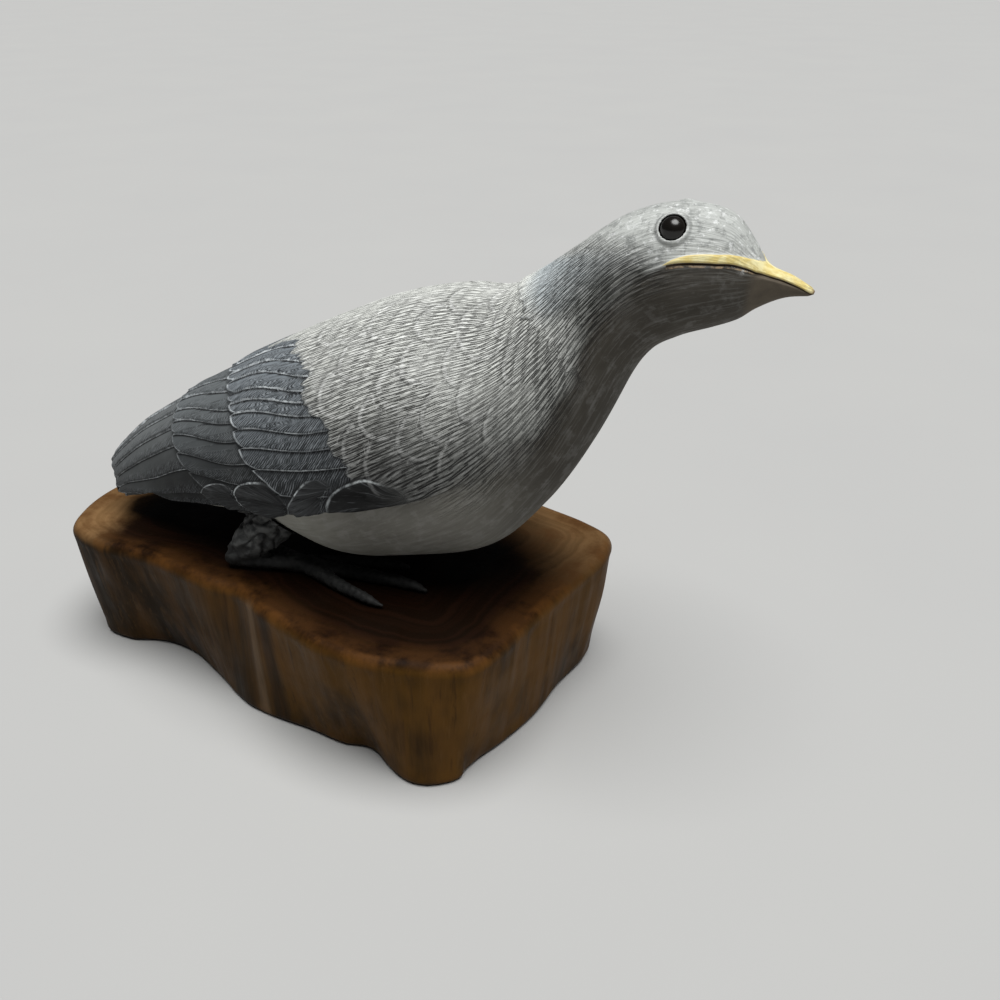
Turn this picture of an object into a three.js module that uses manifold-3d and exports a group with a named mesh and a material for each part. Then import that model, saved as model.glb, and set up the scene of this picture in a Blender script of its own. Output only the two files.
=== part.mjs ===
// Carved and painted mockingbird squatting on a thick slab of natural-edged wood.
// Lengths are in millimetres and angles in degrees.
// X runs the way the bird faces, Y to its left and Z up.
// The origin is the middle of the slab's underside.

import * as THREE from 'three';
import { mergeVertices } from 'three/addons/utils/BufferGeometryUtils.js';
import Module from 'manifold-3d';

const wasm = await Module();
wasm.setup();

// Slab
const SLAB_THICKNESS = 42;
const SLAB_RIM_RADIUS = 3.5;
const SLAB_FOOT_RADIUS = 2;
const SLAB_AROUND = 64;
const WALL_CURVE = 1.3;

// The bird's own numbers are measured from a point on the slab's top.
const BIRD_ORIGIN = new THREE.Vector3(36.5, -11.5, SLAB_THICKNESS);

// Clearance left between neighbouring pieces
const PIECE_GAP = 0.3;

// Sections of the carved bird from the tail's end to the bill's tip, as a boat's lines are drawn.
// x, z: middle of the section; lean: how far its top leans back; half: half its width;
// above, below: height over and depth under its middle (a depth under nothing hollows the underside);
// topPower, lowPower: 2 is a plain oval, more is boxier; sweep: how far its sides lie forward of its middle.
const SECTION_FIELDS = ['x', 'z', 'lean', 'half', 'above', 'below', 'topPower', 'lowPower', 'sweep'];
const BIRD_SECTIONS = [
  [-106.8, 5.2, 26, 11, 12, -7.5, 2, 2, 10],
  [-97, 9.3, 27, 13.5, 16.4, -5, 2, 2, 7],
  [-85, 16, 26, 16.5, 18.9, 8, 2, 2.2, 3],
  [-69, 25, 22, 22, 19.5, 15.5, 2, 2.3, 0],
  [-48, 32, 16, 28, 25.4, 20.5, 2, 2.4, 0],
  [-26, 37, 10, 31.5, 32.4, 32.5, 2, 2.5, 0],
  [-4, 42.5, 8, 32, 37, 35.5, 2, 2.4, 0],
  [16, 49, 9, 29, 36, 36.5, 2, 2.2, 0],
  [29, 58, 12, 24.5, 28.5, 31.5, 2, 2, 0],
  [40, 69.5, 20, 18.5, 23, 23, 2, 2, 0],
  [49, 82, 26, 14.5, 17.9, 17, 2, 2, 0],
  [57.5, 90, 14, 12.8, 17.1, 16.2, 2.2, 2, 0],
  [67, 94, 3, 12.8, 16.1, 15.6, 2.4, 2, 0],
  [76.5, 95, -3, 10.4, 13.5, 13.5, 2.2, 2, 0],
  [82.3, 94.5, -6, 7.2, 8.2, 10.7, 2, 2, 0],
  [86.6, 94.8, -10, 4.6, 2.1, 8, 1.8, 2, 0],
  [92, 93.3, -14, 2.7, 1.6, 3.4, 1.8, 2, 0],
  [97.6, 91.5, -18, 0.9, 0.6, 0.5, 2, 2, 0],
];
const TAIL_END = 0;
const BILL_ROOT = 14.6;
const BILL_TIP = BIRD_SECTIONS.length - 1;

// Lower edges of the nine feathers drawn down each side, as angles in the section:
// 90 is the middle of the back, 0 the side. The ninth edge is the wing's lower edge,
// and on the head it carries on as the line where the bill closes.
const FEATHER_EDGES = [
  { at: 0, angles: [82, 72, 61, 50, 39, 28, 18, 9, 1] },
  { at: 2, angles: [82, 69, 56, 43, 30, 17, 4, -10, -24] },
  { at: 3.7, angles: [74, 65, 57, 47, 37, 26, 15, 2, -20] },
  { at: 4.8, angles: [69, 60, 52, 44, 36, 27, 17, 6, -14] },
  { at: 7, angles: [74, 64, 54, 44, 34, 24, 13, 1, -12] },
  { at: 9.5, angles: [76, 67, 58, 49, 40, 31, 21, 11, 1] },
  { at: 12.4, angles: [80, 71, 62, 53, 44, 36, 29, 22, 15] },
  { at: 13.9, angles: [82, 75, 68, 61, 54, 47, 40, 33, 14] },
  { at: 14.9, angles: [84, 78, 72, 66, 58, 48, 36, 20, 0] },
  { at: 17, angles: [84, 78, 72, 66, 58, 48, 36, 20, 0] },
];
const FEATHERS = 9;
const EDGE_DROP_ANGLE = 1.2;
const BELLY_LINES = 4;

// Where each tier of feathers ends toward the tail, one number for each of the nine feathers,
// counted along the sections: long wing feathers, their coverts, the mantle, the neck.
const LONG_TIPS = [2.94, 2.98, 3.02, 3.05, 3.08, 3.13, 3.2, 3.32, 3.6];
const COVERT_TIPS = [3.85, 3.95, 4.06, 4.13, 4.19, 4.25, 4.34, 4.5, 4.85];
const MANTLE_TIPS = [4.7, 5.02, 5.15, 5.27, 5.36, 5.5, 5.65, 5.72, 6.1];
const NECK_TIPS = [8.45, 8.52, 8.6, 8.7, 8.82, 8.95, 9.1, 9.3, 9.5];
const TIP_CORNER = 0.13;
const TIER_DROP = 0.035;
const ROWS = { tail: 7, long: 5, covert: 5, mantle: 9, neck: 17, bill: 5 };

// Heights of the carved relief over the plain skin
const SKIN_INSET = 0.5;
const WING_LIFT = 0.8;
const WING_FADE = [6.3, 8.2];
const FEATHER_EDGE = 0.5;
const LONG_STEP = 1.1;
const COVERT_STEP = 0.9;
const MANTLE_STEP = 0.7;
const NECK_STEP = 0.3;
const BILL_STEP = 0.45;
const GAPE_START = [11.75, 12];

// Glass eyes
const EYE_RADIUS = 3.1;
const EYE_CENTRE = new THREE.Vector3(65.7, 8.5, 105.5);

// Legs: line of the thigh, of the shank lying on the slab, and of the four toes.
// Each row is x, outward distance from the bird's middle, height, radius.
const THIGH = [[-38, 19, 22, 8.5], [-43.5, 20.5, 13.5, 6.6], [-49, 22, 8, 4.8], [-52.5, 23, 4.6, 3.2]];
const SHANK = [[-53.5, 23, 3.4, 2.9], [-46, 21.8, 2.9, 2.4], [-33, 19, 2.8, 2.7]];
const TOES = [
  [[-33, 19, 2.8, 2.5], [-16, 17.5, 2.1, 2], [-1, 17.2, 1.8, 1.6], [5, 17.8, 1, 0.7]],
  [[-33, 19, 2.8, 2.4], [-19, 24.5, 2, 1.9], [-8, 28, 1.6, 1.4], [-3.5, 29, 1, 0.7]],
  [[-33, 19, 2.8, 2.4], [-20, 12.5, 2, 1.9], [-9, 9, 1.6, 1.4], [-4.5, 8, 1, 0.7]],
  [[-33, 19, 2.8, 2.3], [-42, 14.5, 2, 1.8], [-49, 12, 1.4, 1.2], [-52, 11.2, 0.9, 0.6]],
];
const LEG_SIDES = 8;
const LEG_STEPS = 2;
const TOE_STEPS = 1;

// Stretch of the bird that a thigh is let into, and how finely it's cut
const THIGH_STRETCH = [3, 6.2];
const THIGH_CUT = { rings: 12, around: 40 };

// Natural edge of the slab seen from above, measured like the bird: left end, near edge, right end, far edge.
// Each row is x, y and how far the wavy wall under it is set in at the slab's foot.
const SLAB_EDGE = [
  [-121, -9, 5], [-116, -20, 5], [-103.5, -26, 8], [-91, -27, 11.5], [-81, -28, 11], [-69, -31, 8],
  [-58, -33.6, 4.5], [-47, -34.5, -0.5], [-37, -40, 3], [-26, -45, 7], [-15, -49.5, 9.5], [-6, -51.5, 12],
  [3, -52.3, 8.5], [13, -50.8, 2], [22, -49, 3], [30, -45, 7], [34.5, -35, 8], [37, -23, 5.5], [40, -10, 4.5],
  [44, 5, 6.5], [47.7, 21, 6.5], [46, 33, 6], [36, 40, 6], [20, 46, 5], [-6, 56, 7], [-34, 67, 5],
  [-62, 76, 7], [-86, 76, 8], [-103, 66, 5], [-112, 46, 6], [-118, 24, 5], [-122, 5, 6],
];

const materials = {
  body: new THREE.MeshStandardMaterial({ color: 0x8b9194, roughness: 0.8, metalness: 0 }),
  leg: new THREE.MeshStandardMaterial({ color: 0x55585a, roughness: 0.8, metalness: 0 }),
  eye: new THREE.MeshStandardMaterial({ color: 0x0b0c0d, roughness: 0.08, metalness: 0 }),
  slab: new THREE.MeshStandardMaterial({ color: 0x6a4228, roughness: 0.4, metalness: 0 }),
};

const radians = THREE.MathUtils.degToRad;
const smooth = THREE.MathUtils.smoothstep;
const lerp = THREE.MathUtils.lerp;

// Smooth curve through numbers at even spacing: four neighbours and the fraction between the middle two.
function throughPoints(a, b, c, d, f) {
  const bend = 2 * a - 5 * b + 4 * c - d;
  return 0.5 * (2 * b + (c - a) * f + bend * f * f + (3 * b - a - 3 * c + d) * f ** 3);
}

function sectionAt(place) {
  const last = BIRD_SECTIONS.length - 1;
  const i = Math.min(Math.floor(place), last - 1);
  const row = (k) => BIRD_SECTIONS[THREE.MathUtils.clamp(k, 0, last)];
  const section = {};
  SECTION_FIELDS.forEach((field, k) => {
    const before = i > 0 ? row(i - 1)[k] : 2 * row(0)[k] - row(1)[k];
    const after = i + 2 <= last ? row(i + 2)[k] : 2 * row(last)[k] - row(last - 1)[k];
    section[field] = throughPoints(before, row(i)[k], row(i + 1)[k], after, place - i);
  });
  return section;
}

// Point on the bird's skin, lifted square to the section's outline. Side is -1 right, 1 left.
function skinPoint(place, angle, side, lift) {
  const s = sectionAt(place);
  const cos = Math.max(Math.cos(radians(angle)), 0);
  const sin = Math.sin(radians(angle));
  const power = sin >= 0 ? s.topPower : s.lowPower;
  const reach = sin >= 0 ? s.above : s.below;
  let out = s.half * cos ** (2 / power);
  let up = reach * Math.sign(sin) * Math.abs(sin) ** (2 / power);
  const outward = new THREE.Vector2(
    Math.abs(reach) * cos ** (2 - 2 / power),
    s.half * Math.sign(sin) * Math.sign(reach) * Math.abs(sin) ** (2 - 2 / power),
  ).normalize();
  out += outward.x * lift;
  up += outward.y * lift;
  const forward = s.sweep * (out / s.half) ** 2;
  const lean = radians(s.lean);
  return new THREE.Vector3(
    s.x - up * Math.sin(lean) + forward * Math.cos(lean),
    side * out,
    s.z + up * Math.cos(lean) + forward * Math.sin(lean),
  );
}

// Lower edge of one feather, or of the back's middle for number -1, as an angle at a place.
function edgeAngle(feather, place) {
  if (feather < 0) return 90;
  let k = 0;
  while (k < FEATHER_EDGES.length - 2 && place > FEATHER_EDGES[k + 1].at) k += 1;
  const [from, to] = [FEATHER_EDGES[k], FEATHER_EDGES[k + 1]];
  const f = smooth(place, from.at, to.at);
  return lerp(from.angles[feather], to.angles[feather], f);
}

// Lines running along one side: the middle, the raised edge and the foot under the edge of
// every feather, then the belly's lines. Across is 0 at a feather's upper border and 1 at its edge.
function sideLines() {
  const lines = [];
  for (let feather = 0; feather < FEATHERS; feather += 1) {
    lines.push({ feather, across: 0.55 }, { feather, across: 1 }, { feather: feather + 1, across: 0 });
  }
  for (let k = 1; k <= BELLY_LINES; k += 1) {
    lines.push({ feather: FEATHERS, across: k / (BELLY_LINES + 1) });
  }
  return lines;
}

function lineAngle(line, place) {
  const top = edgeAngle(line.feather - 1, place) - (line.feather > 0 ? EDGE_DROP_ANGLE : 0);
  const low = line.feather < FEATHERS ? edgeAngle(line.feather, place) : -90;
  return lerp(top, low, line.across);
}

// Where a tier ends along a line: rounded back at each feather's lower corner.
function tipPlace(tips, line) {
  const feather = Math.min(line.feather, FEATHERS - 1);
  const corner = line.feather < FEATHERS ? TIP_CORNER * line.across ** 3 : TIP_CORNER;
  return tips[feather] + corner;
}

// Places of all the sections along one line, with the lift each tier gives the skin there.
function tierStops(line) {
  const tips = [LONG_TIPS, COVERT_TIPS, MANTLE_TIPS, NECK_TIPS].map((tier) => tipPlace(tier, line));
  const starts = [TAIL_END, ...tips, BILL_ROOT];
  const ends = [...tips.map((tip) => tip - TIER_DROP), BILL_ROOT - TIER_DROP, BILL_TIP];
  const steps = [0, LONG_STEP, COVERT_STEP, MANTLE_STEP, NECK_STEP, 0];
  const fades = [1, 1, 1, 1, 6, 1];
  const stops = [];
  Object.values(ROWS).forEach((rows, tier) => {
    for (let k = 0; k < rows; k += 1) {
      const along = k / (rows - 1);
      const place = lerp(starts[tier], ends[tier], along);
      stops.push({ place, tier, tierLift: steps[tier] * (1 - along) ** fades[tier] });
    }
  });
  return stops;
}

// Relief over the plain skin on one line at one stop.
function relief(line, stop) {
  const { place, tier, tierLift } = stop;
  const onWing = line.feather < FEATHERS ? 1 : 0;
  const wing = 1 - smooth(place, ...WING_FADE);
  const gape = smooth(place, ...GAPE_START);
  const onBand = line.feather === FEATHERS - 1 ? 1 : 0;
  const bill = tier === 5 ? onWing : onBand * gape;
  const feathered = tier < 3 ? 1 : 0;
  const plumage = tierLift + WING_LIFT * wing * smooth(place, 1, 3) + FEATHER_EDGE * feathered * line.across;
  return onWing * plumage + BILL_STEP * bill - SKIN_INSET * (1 - smooth(place, 6, 9));
}

// The bird's skin as rings of points.
function birdRings() {
  const half = sideLines();
  const back = { feather: 0, across: 0 };
  const belly = { feather: FEATHERS, across: 1 };
  const around = [
    { line: back, side: -1 },
    ...half.map((line) => ({ line, side: -1 })),
    { line: belly, side: -1 },
    ...[...half].reverse().map((line) => ({ line, side: 1 })),
  ];
  const columns = around.map(({ line, side }) => tierStops(line).map((stop) => {
    const angle = lineAngle(line, stop.place);
    return skinPoint(stop.place, angle, side, relief(line, stop)).add(BIRD_ORIGIN);
  }));
  return columns[0].map((_, ring) => columns.map((column) => column[ring]));
}

// Plain stretch of the bird around the thighs, fatter by the gap and by the wing's relief.
function thighCutRings() {
  const { rings, around } = THIGH_CUT;
  return Array.from({ length: rings }, (_, r) => {
    const place = lerp(...THIGH_STRETCH, r / (rings - 1));
    const wingEdge = edgeAngle(FEATHERS - 1, place);
    return Array.from({ length: around }, (_, k) => {
      const turn = (360 * k) / around;
      const side = turn < 180 ? -1 : 1;
      const angle = 90 - (turn < 180 ? turn : 360 - turn);
      const wing = smooth(angle, wingEdge - 12, wingEdge - 4);
      const lift = PIECE_GAP + (WING_LIFT + COVERT_STEP + FEATHER_EDGE) * wing;
      return skinPoint(place, angle, side, lift).add(BIRD_ORIGIN);
    });
  });
}

// Closed surface through rings of equal count; each end ring is filled with flat triangles.
function loft(rings) {
  const count = rings[0].length;
  const positions = rings.flat().flatMap((p) => [p.x, p.y, p.z]);
  const indices = [];
  for (let r = 0; r < rings.length - 1; r += 1) {
    for (let k = 0; k < count; k += 1) {
      const a = r * count + k;
      const b = r * count + ((k + 1) % count);
      indices.push(a, b, a + count, b, b + count, a + count);
    }
  }
  const fill = (ring, offset, flip) => {
    const { across, up } = planeOf(ring);
    const flat = ring.map((p) => new THREE.Vector2(p.dot(across), p.dot(up)));
    const outwards = THREE.ShapeUtils.isClockWise(flat) === flip;
    for (const [a, b, c] of THREE.ShapeUtils.triangulateShape(flat, [])) {
      const order = outwards ? [a, c, b] : [a, b, c];
      indices.push(...order.map((k) => k + offset));
    }
  };
  fill(rings[0], 0, false);
  fill(rings.at(-1), (rings.length - 1) * count, true);
  const geometry = new THREE.BufferGeometry();
  geometry.setAttribute('position', new THREE.Float32BufferAttribute(positions, 3));
  geometry.setIndex(indices);
  return geometry;
}

// Two directions lying in the plane of a ring.
function planeOf(ring) {
  const normal = new THREE.Vector3();
  ring.forEach((p, k) => normal.add(p.clone().cross(ring[(k + 1) % ring.length])));
  normal.normalize();
  const across = new THREE.Vector3(0, 0, 1).cross(normal);
  if (across.lengthSq() < 0.01) across.set(1, 0, 0);
  across.normalize();
  return { across, up: normal.clone().cross(across) };
}

// Tapering round limb along a row of centres and radii.
function limb(rows, side, steps) {
  const centres = rows.map(([x, out, z]) => new THREE.Vector3(x, side * out, z).add(BIRD_ORIGIN));
  const path = new THREE.CatmullRomCurve3(centres);
  const total = (rows.length - 1) * steps;
  const rings = [];
  const ringAt = (f, shrink, push) => {
    const centre = path.getPoint(f);
    const along = path.getTangent(f);
    const across = new THREE.Vector3(0, 0, 1).cross(along).normalize();
    const up = along.clone().cross(across);
    const k = Math.min(Math.floor(f * (rows.length - 1)), rows.length - 2);
    const radius = lerp(rows[k][3], rows[k + 1][3], f * (rows.length - 1) - k);
    return Array.from({ length: LEG_SIDES }, (_, n) => {
      const turn = (2 * Math.PI * n) / LEG_SIDES;
      return centre.clone()
        .addScaledVector(across, radius * shrink * Math.cos(turn))
        .addScaledVector(up, radius * shrink * Math.sin(turn))
        .addScaledVector(along, radius * push);
    });
  };
  rings.push(ringAt(0, 0.5, -0.8));
  for (let k = 0; k <= total; k += 1) rings.push(ringAt(k / total, 1, 0));
  rings.push(ringAt(1, 0.5, 0.8));
  return loft(rings);
}

// Natural edge at a fraction of the way around: x, y and how far its foot is set in.
function edgeAt(f) {
  const n = SLAB_EDGE.length;
  const i = Math.floor(f * n);
  const near = [i - 1, i, i + 1, i + 2].map((k) => SLAB_EDGE[(k + n) % n]);
  const [x, y, setIn] = [0, 1, 2].map((k) => throughPoints(...near.map((row) => row[k]), f * n - i));
  return { point: new THREE.Vector2(x, y), setIn };
}

// Rings of the slab from underside to top. The wall runs in toward its foot; rim and foot are rounded.
function slabRings() {
  const levels = [
    { z: 0, inset: SLAB_FOOT_RADIUS },
    { z: SLAB_FOOT_RADIUS, inset: 0 },
    { z: SLAB_THICKNESS * 0.3, inset: 0 },
    { z: SLAB_THICKNESS * 0.6, inset: 0 },
  ];
  for (const turn of [0, 30, 60, 90]) {
    const [s, c] = [Math.sin(radians(turn)), Math.cos(radians(turn))];
    levels.push({ z: SLAB_THICKNESS - SLAB_RIM_RADIUS * (1 - s), inset: SLAB_RIM_RADIUS * (1 - c) });
  }
  const edge = Array.from({ length: SLAB_AROUND }, (_, k) => edgeAt(k / SLAB_AROUND));
  const inward = edge.map((_, k) => {
    const along = edge[(k + 1) % SLAB_AROUND].point.clone().sub(edge.at(k - 1).point).normalize();
    return new THREE.Vector2(-along.y, along.x);
  });
  return levels.map(({ z, inset }) => {
    const depth = (1 - z / SLAB_THICKNESS) ** WALL_CURVE;
    return edge.map(({ point, setIn }, k) => {
      const q = point.clone().addScaledVector(inward[k], inset + setIn * depth);
      return new THREE.Vector3(q.x + BIRD_ORIGIN.x, q.y + BIRD_ORIGIN.y, z);
    });
  });
}

function toManifold(geometry) {
  const bare = geometry.clone();
  bare.deleteAttribute('normal');
  bare.deleteAttribute('uv');
  const welded = mergeVertices(bare, 1e-4);
  return new wasm.Manifold(new wasm.Mesh({
    numProp: 3,
    vertProperties: new Float32Array(welded.attributes.position.array),
    triVerts: new Uint32Array(welded.index.array),
  }));
}

function toGeometry(solid) {
  const mesh = solid.getMesh();
  const geometry = new THREE.BufferGeometry();
  geometry.setAttribute('position', new THREE.Float32BufferAttribute(mesh.vertProperties, 3));
  geometry.setIndex(Array.from(mesh.triVerts));
  return geometry;
}

function named(name, geometry, material) {
  const flat = geometry.toNonIndexed();
  flat.computeVertexNormals();
  const mesh = new THREE.Mesh(flat, material);
  mesh.name = name;
  return mesh;
}

function eyeBall(side, radius) {
  const ball = new THREE.SphereGeometry(radius, 14, 9);
  return ball.translate(
    BIRD_ORIGIN.x + EYE_CENTRE.x,
    BIRD_ORIGIN.y + side * EYE_CENTRE.y,
    BIRD_ORIGIN.z + EYE_CENTRE.z,
  );
}

// Everything over the slab's top by one gap
function aboveSlab() {
  const size = 400;
  const block = new THREE.BoxGeometry(size, size, size);
  return toManifold(block.translate(0, 0, SLAB_THICKNESS + PIECE_GAP + size / 2));
}

function leg(side, thighCut) {
  const limbs = [
    ...[THIGH, SHANK].map((rows) => limb(rows, side, LEG_STEPS)),
    ...TOES.map((rows) => limb(rows, side, TOE_STEPS)),
  ];
  const whole = limbs.map(toManifold).reduce((sum, part) => sum.add(part));
  return whole.subtract(thighCut).intersect(aboveSlab());
}

const bird = toManifold(loft(birdRings()));
const thighCut = toManifold(loft(thighCutRings()));
const sockets = [-1, 1].map((side) => toManifold(eyeBall(side, EYE_RADIUS + PIECE_GAP)));
const birdWithSockets = bird.subtract(sockets[0]).subtract(sockets[1]);

const group = new THREE.Group();
group.add(
  named('wood_base', loft(slabRings()), materials.slab),
  named('bird_body', toGeometry(birdWithSockets), materials.body),
  named('eye_right', eyeBall(-1, EYE_RADIUS), materials.eye),
  named('eye_left', eyeBall(1, EYE_RADIUS), materials.eye),
  named('leg_right', toGeometry(leg(-1, thighCut)), materials.leg),
  named('leg_left', toGeometry(leg(1, thighCut)), materials.leg),
);

export default group;
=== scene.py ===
# %% [markdown]
# # Carved mockingbird squatting on a slab of wood
#
# The object is a wooden bird, carved, burned and painted, with glass eyes, on a thick slab that
# keeps the natural edge of the tree. This file dresses the plain solids of the part: every piece
# is worked out with numpy as a surface of two parameters and gets its own node material.
# The plain solids are loaded first, because each new piece has to sit exactly where they do.

# %% Frame
import math

import bmesh
import bpy
import numpy as np
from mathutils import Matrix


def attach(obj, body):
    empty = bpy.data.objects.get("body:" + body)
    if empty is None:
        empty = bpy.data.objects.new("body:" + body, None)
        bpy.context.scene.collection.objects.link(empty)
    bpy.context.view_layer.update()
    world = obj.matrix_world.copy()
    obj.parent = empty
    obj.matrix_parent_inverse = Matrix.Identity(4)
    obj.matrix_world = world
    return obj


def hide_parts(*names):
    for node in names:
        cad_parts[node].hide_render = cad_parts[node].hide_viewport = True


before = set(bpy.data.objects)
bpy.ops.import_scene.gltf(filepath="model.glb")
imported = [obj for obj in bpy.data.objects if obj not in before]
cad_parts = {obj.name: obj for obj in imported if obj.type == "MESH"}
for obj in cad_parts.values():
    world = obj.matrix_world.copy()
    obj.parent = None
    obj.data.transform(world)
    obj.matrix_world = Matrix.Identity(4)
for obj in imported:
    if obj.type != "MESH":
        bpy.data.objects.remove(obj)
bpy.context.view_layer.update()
print("solids:", sorted(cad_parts))

# %% [markdown]
# A mesh is only arrays: places of the points, and which points each face joins. One helper turns
# them into a Blender object. Points are given in millimetres, as a carver measures, and become
# metres here. Numbers that a material needs later are stored on the points as attributes.

# %% Mesh from arrays
MM = 0.001


def new_piece(name, points, faces, numbers=None, colours=None):
    """Object at the origin from points (n, 3) in mm and faces as rows of point numbers."""
    mesh = bpy.data.meshes.new(name)
    mesh.from_pydata((np.asarray(points) * MM).tolist(), [], faces)
    for title, values in (numbers or {}).items():
        layer = mesh.attributes.new(title, "FLOAT", "POINT")
        layer.data.foreach_set("value", np.asarray(values, np.float32).ravel())
    for title, values in (colours or {}).items():
        layer = mesh.attributes.new(title, "FLOAT_COLOR", "POINT")
        rgba = np.concatenate([values, np.ones((len(values), 1))], 1)
        layer.data.foreach_set("color", rgba.astype(np.float32).ravel())
    mesh.polygons.foreach_set("use_smooth", np.ones(len(mesh.polygons), bool))
    shell = bmesh.new()
    shell.from_mesh(mesh)
    if shell.calc_volume(signed=True) < 0:
        bmesh.ops.reverse_faces(shell, faces=shell.faces)
        shell.to_mesh(mesh)
    open_edges = sum(not edge.is_manifold for edge in shell.edges)
    print(f"{name}: {len(mesh.vertices)} points, {len(faces)} faces, {open_edges} open edges, "
          f"{abs(shell.calc_volume()) * 1e6:.1f} cubic cm")
    shell.free()
    piece = bpy.data.objects.new(name, mesh)
    bpy.context.scene.collection.objects.link(piece)
    return piece


def join_rows(rows, columns):
    """Squares between neighbouring rows of a closed band of points."""
    r, c = np.meshgrid(np.arange(rows - 1), np.arange(columns), indexing="ij")
    n = (c + 1) % columns
    ring = np.stack([r * columns + c, r * columns + n, (r + 1) * columns + n, (r + 1) * columns + c], -1)
    return ring.reshape(-1, 4)


# %% [markdown]
# Four curves are used all over: a soft step, a bell, soft noise, and a smooth line through a few
# points. They work on whole arrays, so a formula reads the same for one point and for thousands.

# %% Curves used all over
def smooth(x, low, high):
    """0 below low, 1 above high, and an S-shaped ramp between them."""
    f = np.clip((x - low) / (high - low), 0, 1)
    return f * f * (3 - 2 * f)


def bell(x, middle, width):
    """1 at the middle, falling to nothing within a few widths on both sides."""
    return np.exp(-((x - middle) / width) ** 2)


def noise(x, y, seed, size=251):
    """Soft noise from -1 to 1: random heights on a lattice of whole numbers, blended between."""
    lattice = np.random.default_rng(seed).uniform(-1, 1, (size, size))
    i, j = np.floor(x).astype(int), np.floor(y).astype(int)
    f, g = x - i, y - j
    f, g = f * f * (3 - 2 * f), g * g * (3 - 2 * g)
    near = lattice[i % size, j % size] * (1 - f) + lattice[(i + 1) % size, j % size] * f
    far = lattice[i % size, (j + 1) % size] * (1 - f) + lattice[(i + 1) % size, (j + 1) % size] * f
    return near * (1 - g) + far * g


def through_points(rows, place, closed=False):
    """Smooth curve through the rows of a table, at any place counted in rows (Catmull-Rom)."""
    rows = np.asarray(rows, float)
    n = len(rows)
    if closed:
        i = np.floor(place).astype(int)
        a, b, c, d = (rows[(i + k) % n] for k in (-1, 0, 1, 2))
    else:
        padded = np.vstack([2 * rows[0] - rows[1], rows, 2 * rows[-1] - rows[-2]])
        i = np.clip(np.floor(place).astype(int), 0, n - 2)
        a, b, c, d = (padded[i + k] for k in (0, 1, 2, 3))
    f = (place - i)[..., None]
    bend = 2 * a - 5 * b + 4 * c - d
    return 0.5 * (2 * b + (c - a) * f + bend * f**2 + (3 * b - a - 3 * c + d) * f**3)


# %% [markdown]
# ## Form of the bird
#
# A carver starts from sections, as a boatbuilder does. Each row is one section from the tail's
# end to the bill's tip. `place` counts along these rows and `angle` goes round a section: 90 is
# the middle of the back, 0 the side and -90 the middle of the belly. A sculpted mesh would have
# no such map, and every feather below is set out by place and angle.

# %% Sections of the bird
BIRD_ORIGIN = np.array([36.5, -11.5, 42.0])
# middle's x and z, lean in degrees, half width, height above and below the middle,
# boxiness above and below, and how far the sides lie forward of the middle
SECTIONS = [
    [-106.8, 5.2, 26, 11, 12, -7.5, 2, 2, 10],
    [-97, 9.3, 27, 13.5, 16.4, -5, 2, 2, 7],
    [-85, 16, 26, 16.5, 18.9, 8, 2, 2.2, 3],
    [-69, 25, 22, 22, 19.5, 15.5, 2, 2.3, 0],
    [-48, 32, 16, 28, 25.4, 20.5, 2, 2.4, 0],
    [-26, 37, 10, 31.5, 32.4, 32.5, 2, 2.5, 0],
    [-4, 42.5, 8, 32, 37, 35.5, 2, 2.4, 0],
    [16, 49, 9, 29, 36, 36.5, 2, 2.2, 0],
    [29, 58, 12, 24.5, 28.5, 31.5, 2, 2, 0],
    [40, 69.5, 20, 18.5, 23, 23, 2, 2, 0],
    [49, 82, 26, 14.5, 17.9, 17, 2, 2, 0],
    [57.5, 90, 14, 12.8, 17.1, 16.2, 2.2, 2, 0],
    [67, 94, 3, 12.8, 16.1, 15.6, 2.4, 2, 0],
    [76.5, 95, -3, 10.4, 13.5, 13.5, 2.2, 2, 0],
    [82.3, 94.5, -6, 7.2, 8.2, 10.7, 2, 2, 0],
    [86.6, 94.8, -10, 4.6, 2.1, 8, 1.8, 2, 0],
    [92, 93.3, -14, 2.7, 1.6, 3.4, 1.8, 2, 0],
    [97.6, 91.5, -18, 0.9, 0.6, 0.5, 2, 2, 0],
]
BILL_ROOT, BILL_TIP = 14.6, 17.0


def skin(place, angle, side, lift):
    """Point on the bird: an oval of each section's size, each point pushed out square to the
    oval by lift, then the section leaned back and set at its middle. Side is -1 right, 1 left."""
    s = through_points(SECTIONS, place)
    x, z, lean, half, above, below, top_power, low_power, sweep = np.moveaxis(s, -1, 0)
    cos, sin = np.clip(np.cos(np.radians(angle)), 0, 1), np.sin(np.radians(angle))
    power = np.where(sin >= 0, top_power, low_power)
    reach = np.where(sin >= 0, above, below)
    out = half * cos ** (2 / power)
    up = reach * np.sign(sin) * np.abs(sin) ** (2 / power)
    off_out = np.abs(reach) * cos ** (2 - 2 / power)
    off_up = half * np.sign(sin) * np.sign(reach) * np.abs(sin) ** (2 - 2 / power)
    long = np.hypot(off_out, off_up) + 1e-9
    out, up = out + lift * off_out / long, up + lift * off_up / long
    forward = sweep * (out / half) ** 2
    lean = np.radians(lean)
    return BIRD_ORIGIN + np.stack([
        x - up * np.sin(lean) + forward * np.cos(lean),
        side * out,
        z + up * np.cos(lean) + forward * np.sin(lean),
    ], -1)


fine_places = np.linspace(0, BILL_TIP, 400)
middle_line = through_points(SECTIONS, fine_places)[:, :2]
along_mm = np.concatenate([[0], np.cumsum(np.hypot(*np.diff(middle_line, axis=0).T))])


def travelled(place):
    """Millimetres along the bird's middle from the tail's end to a place."""
    return np.interp(place, fine_places, along_mm)


print("bird is", round(float(along_mm[-1])), "mm along its middle")

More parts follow.
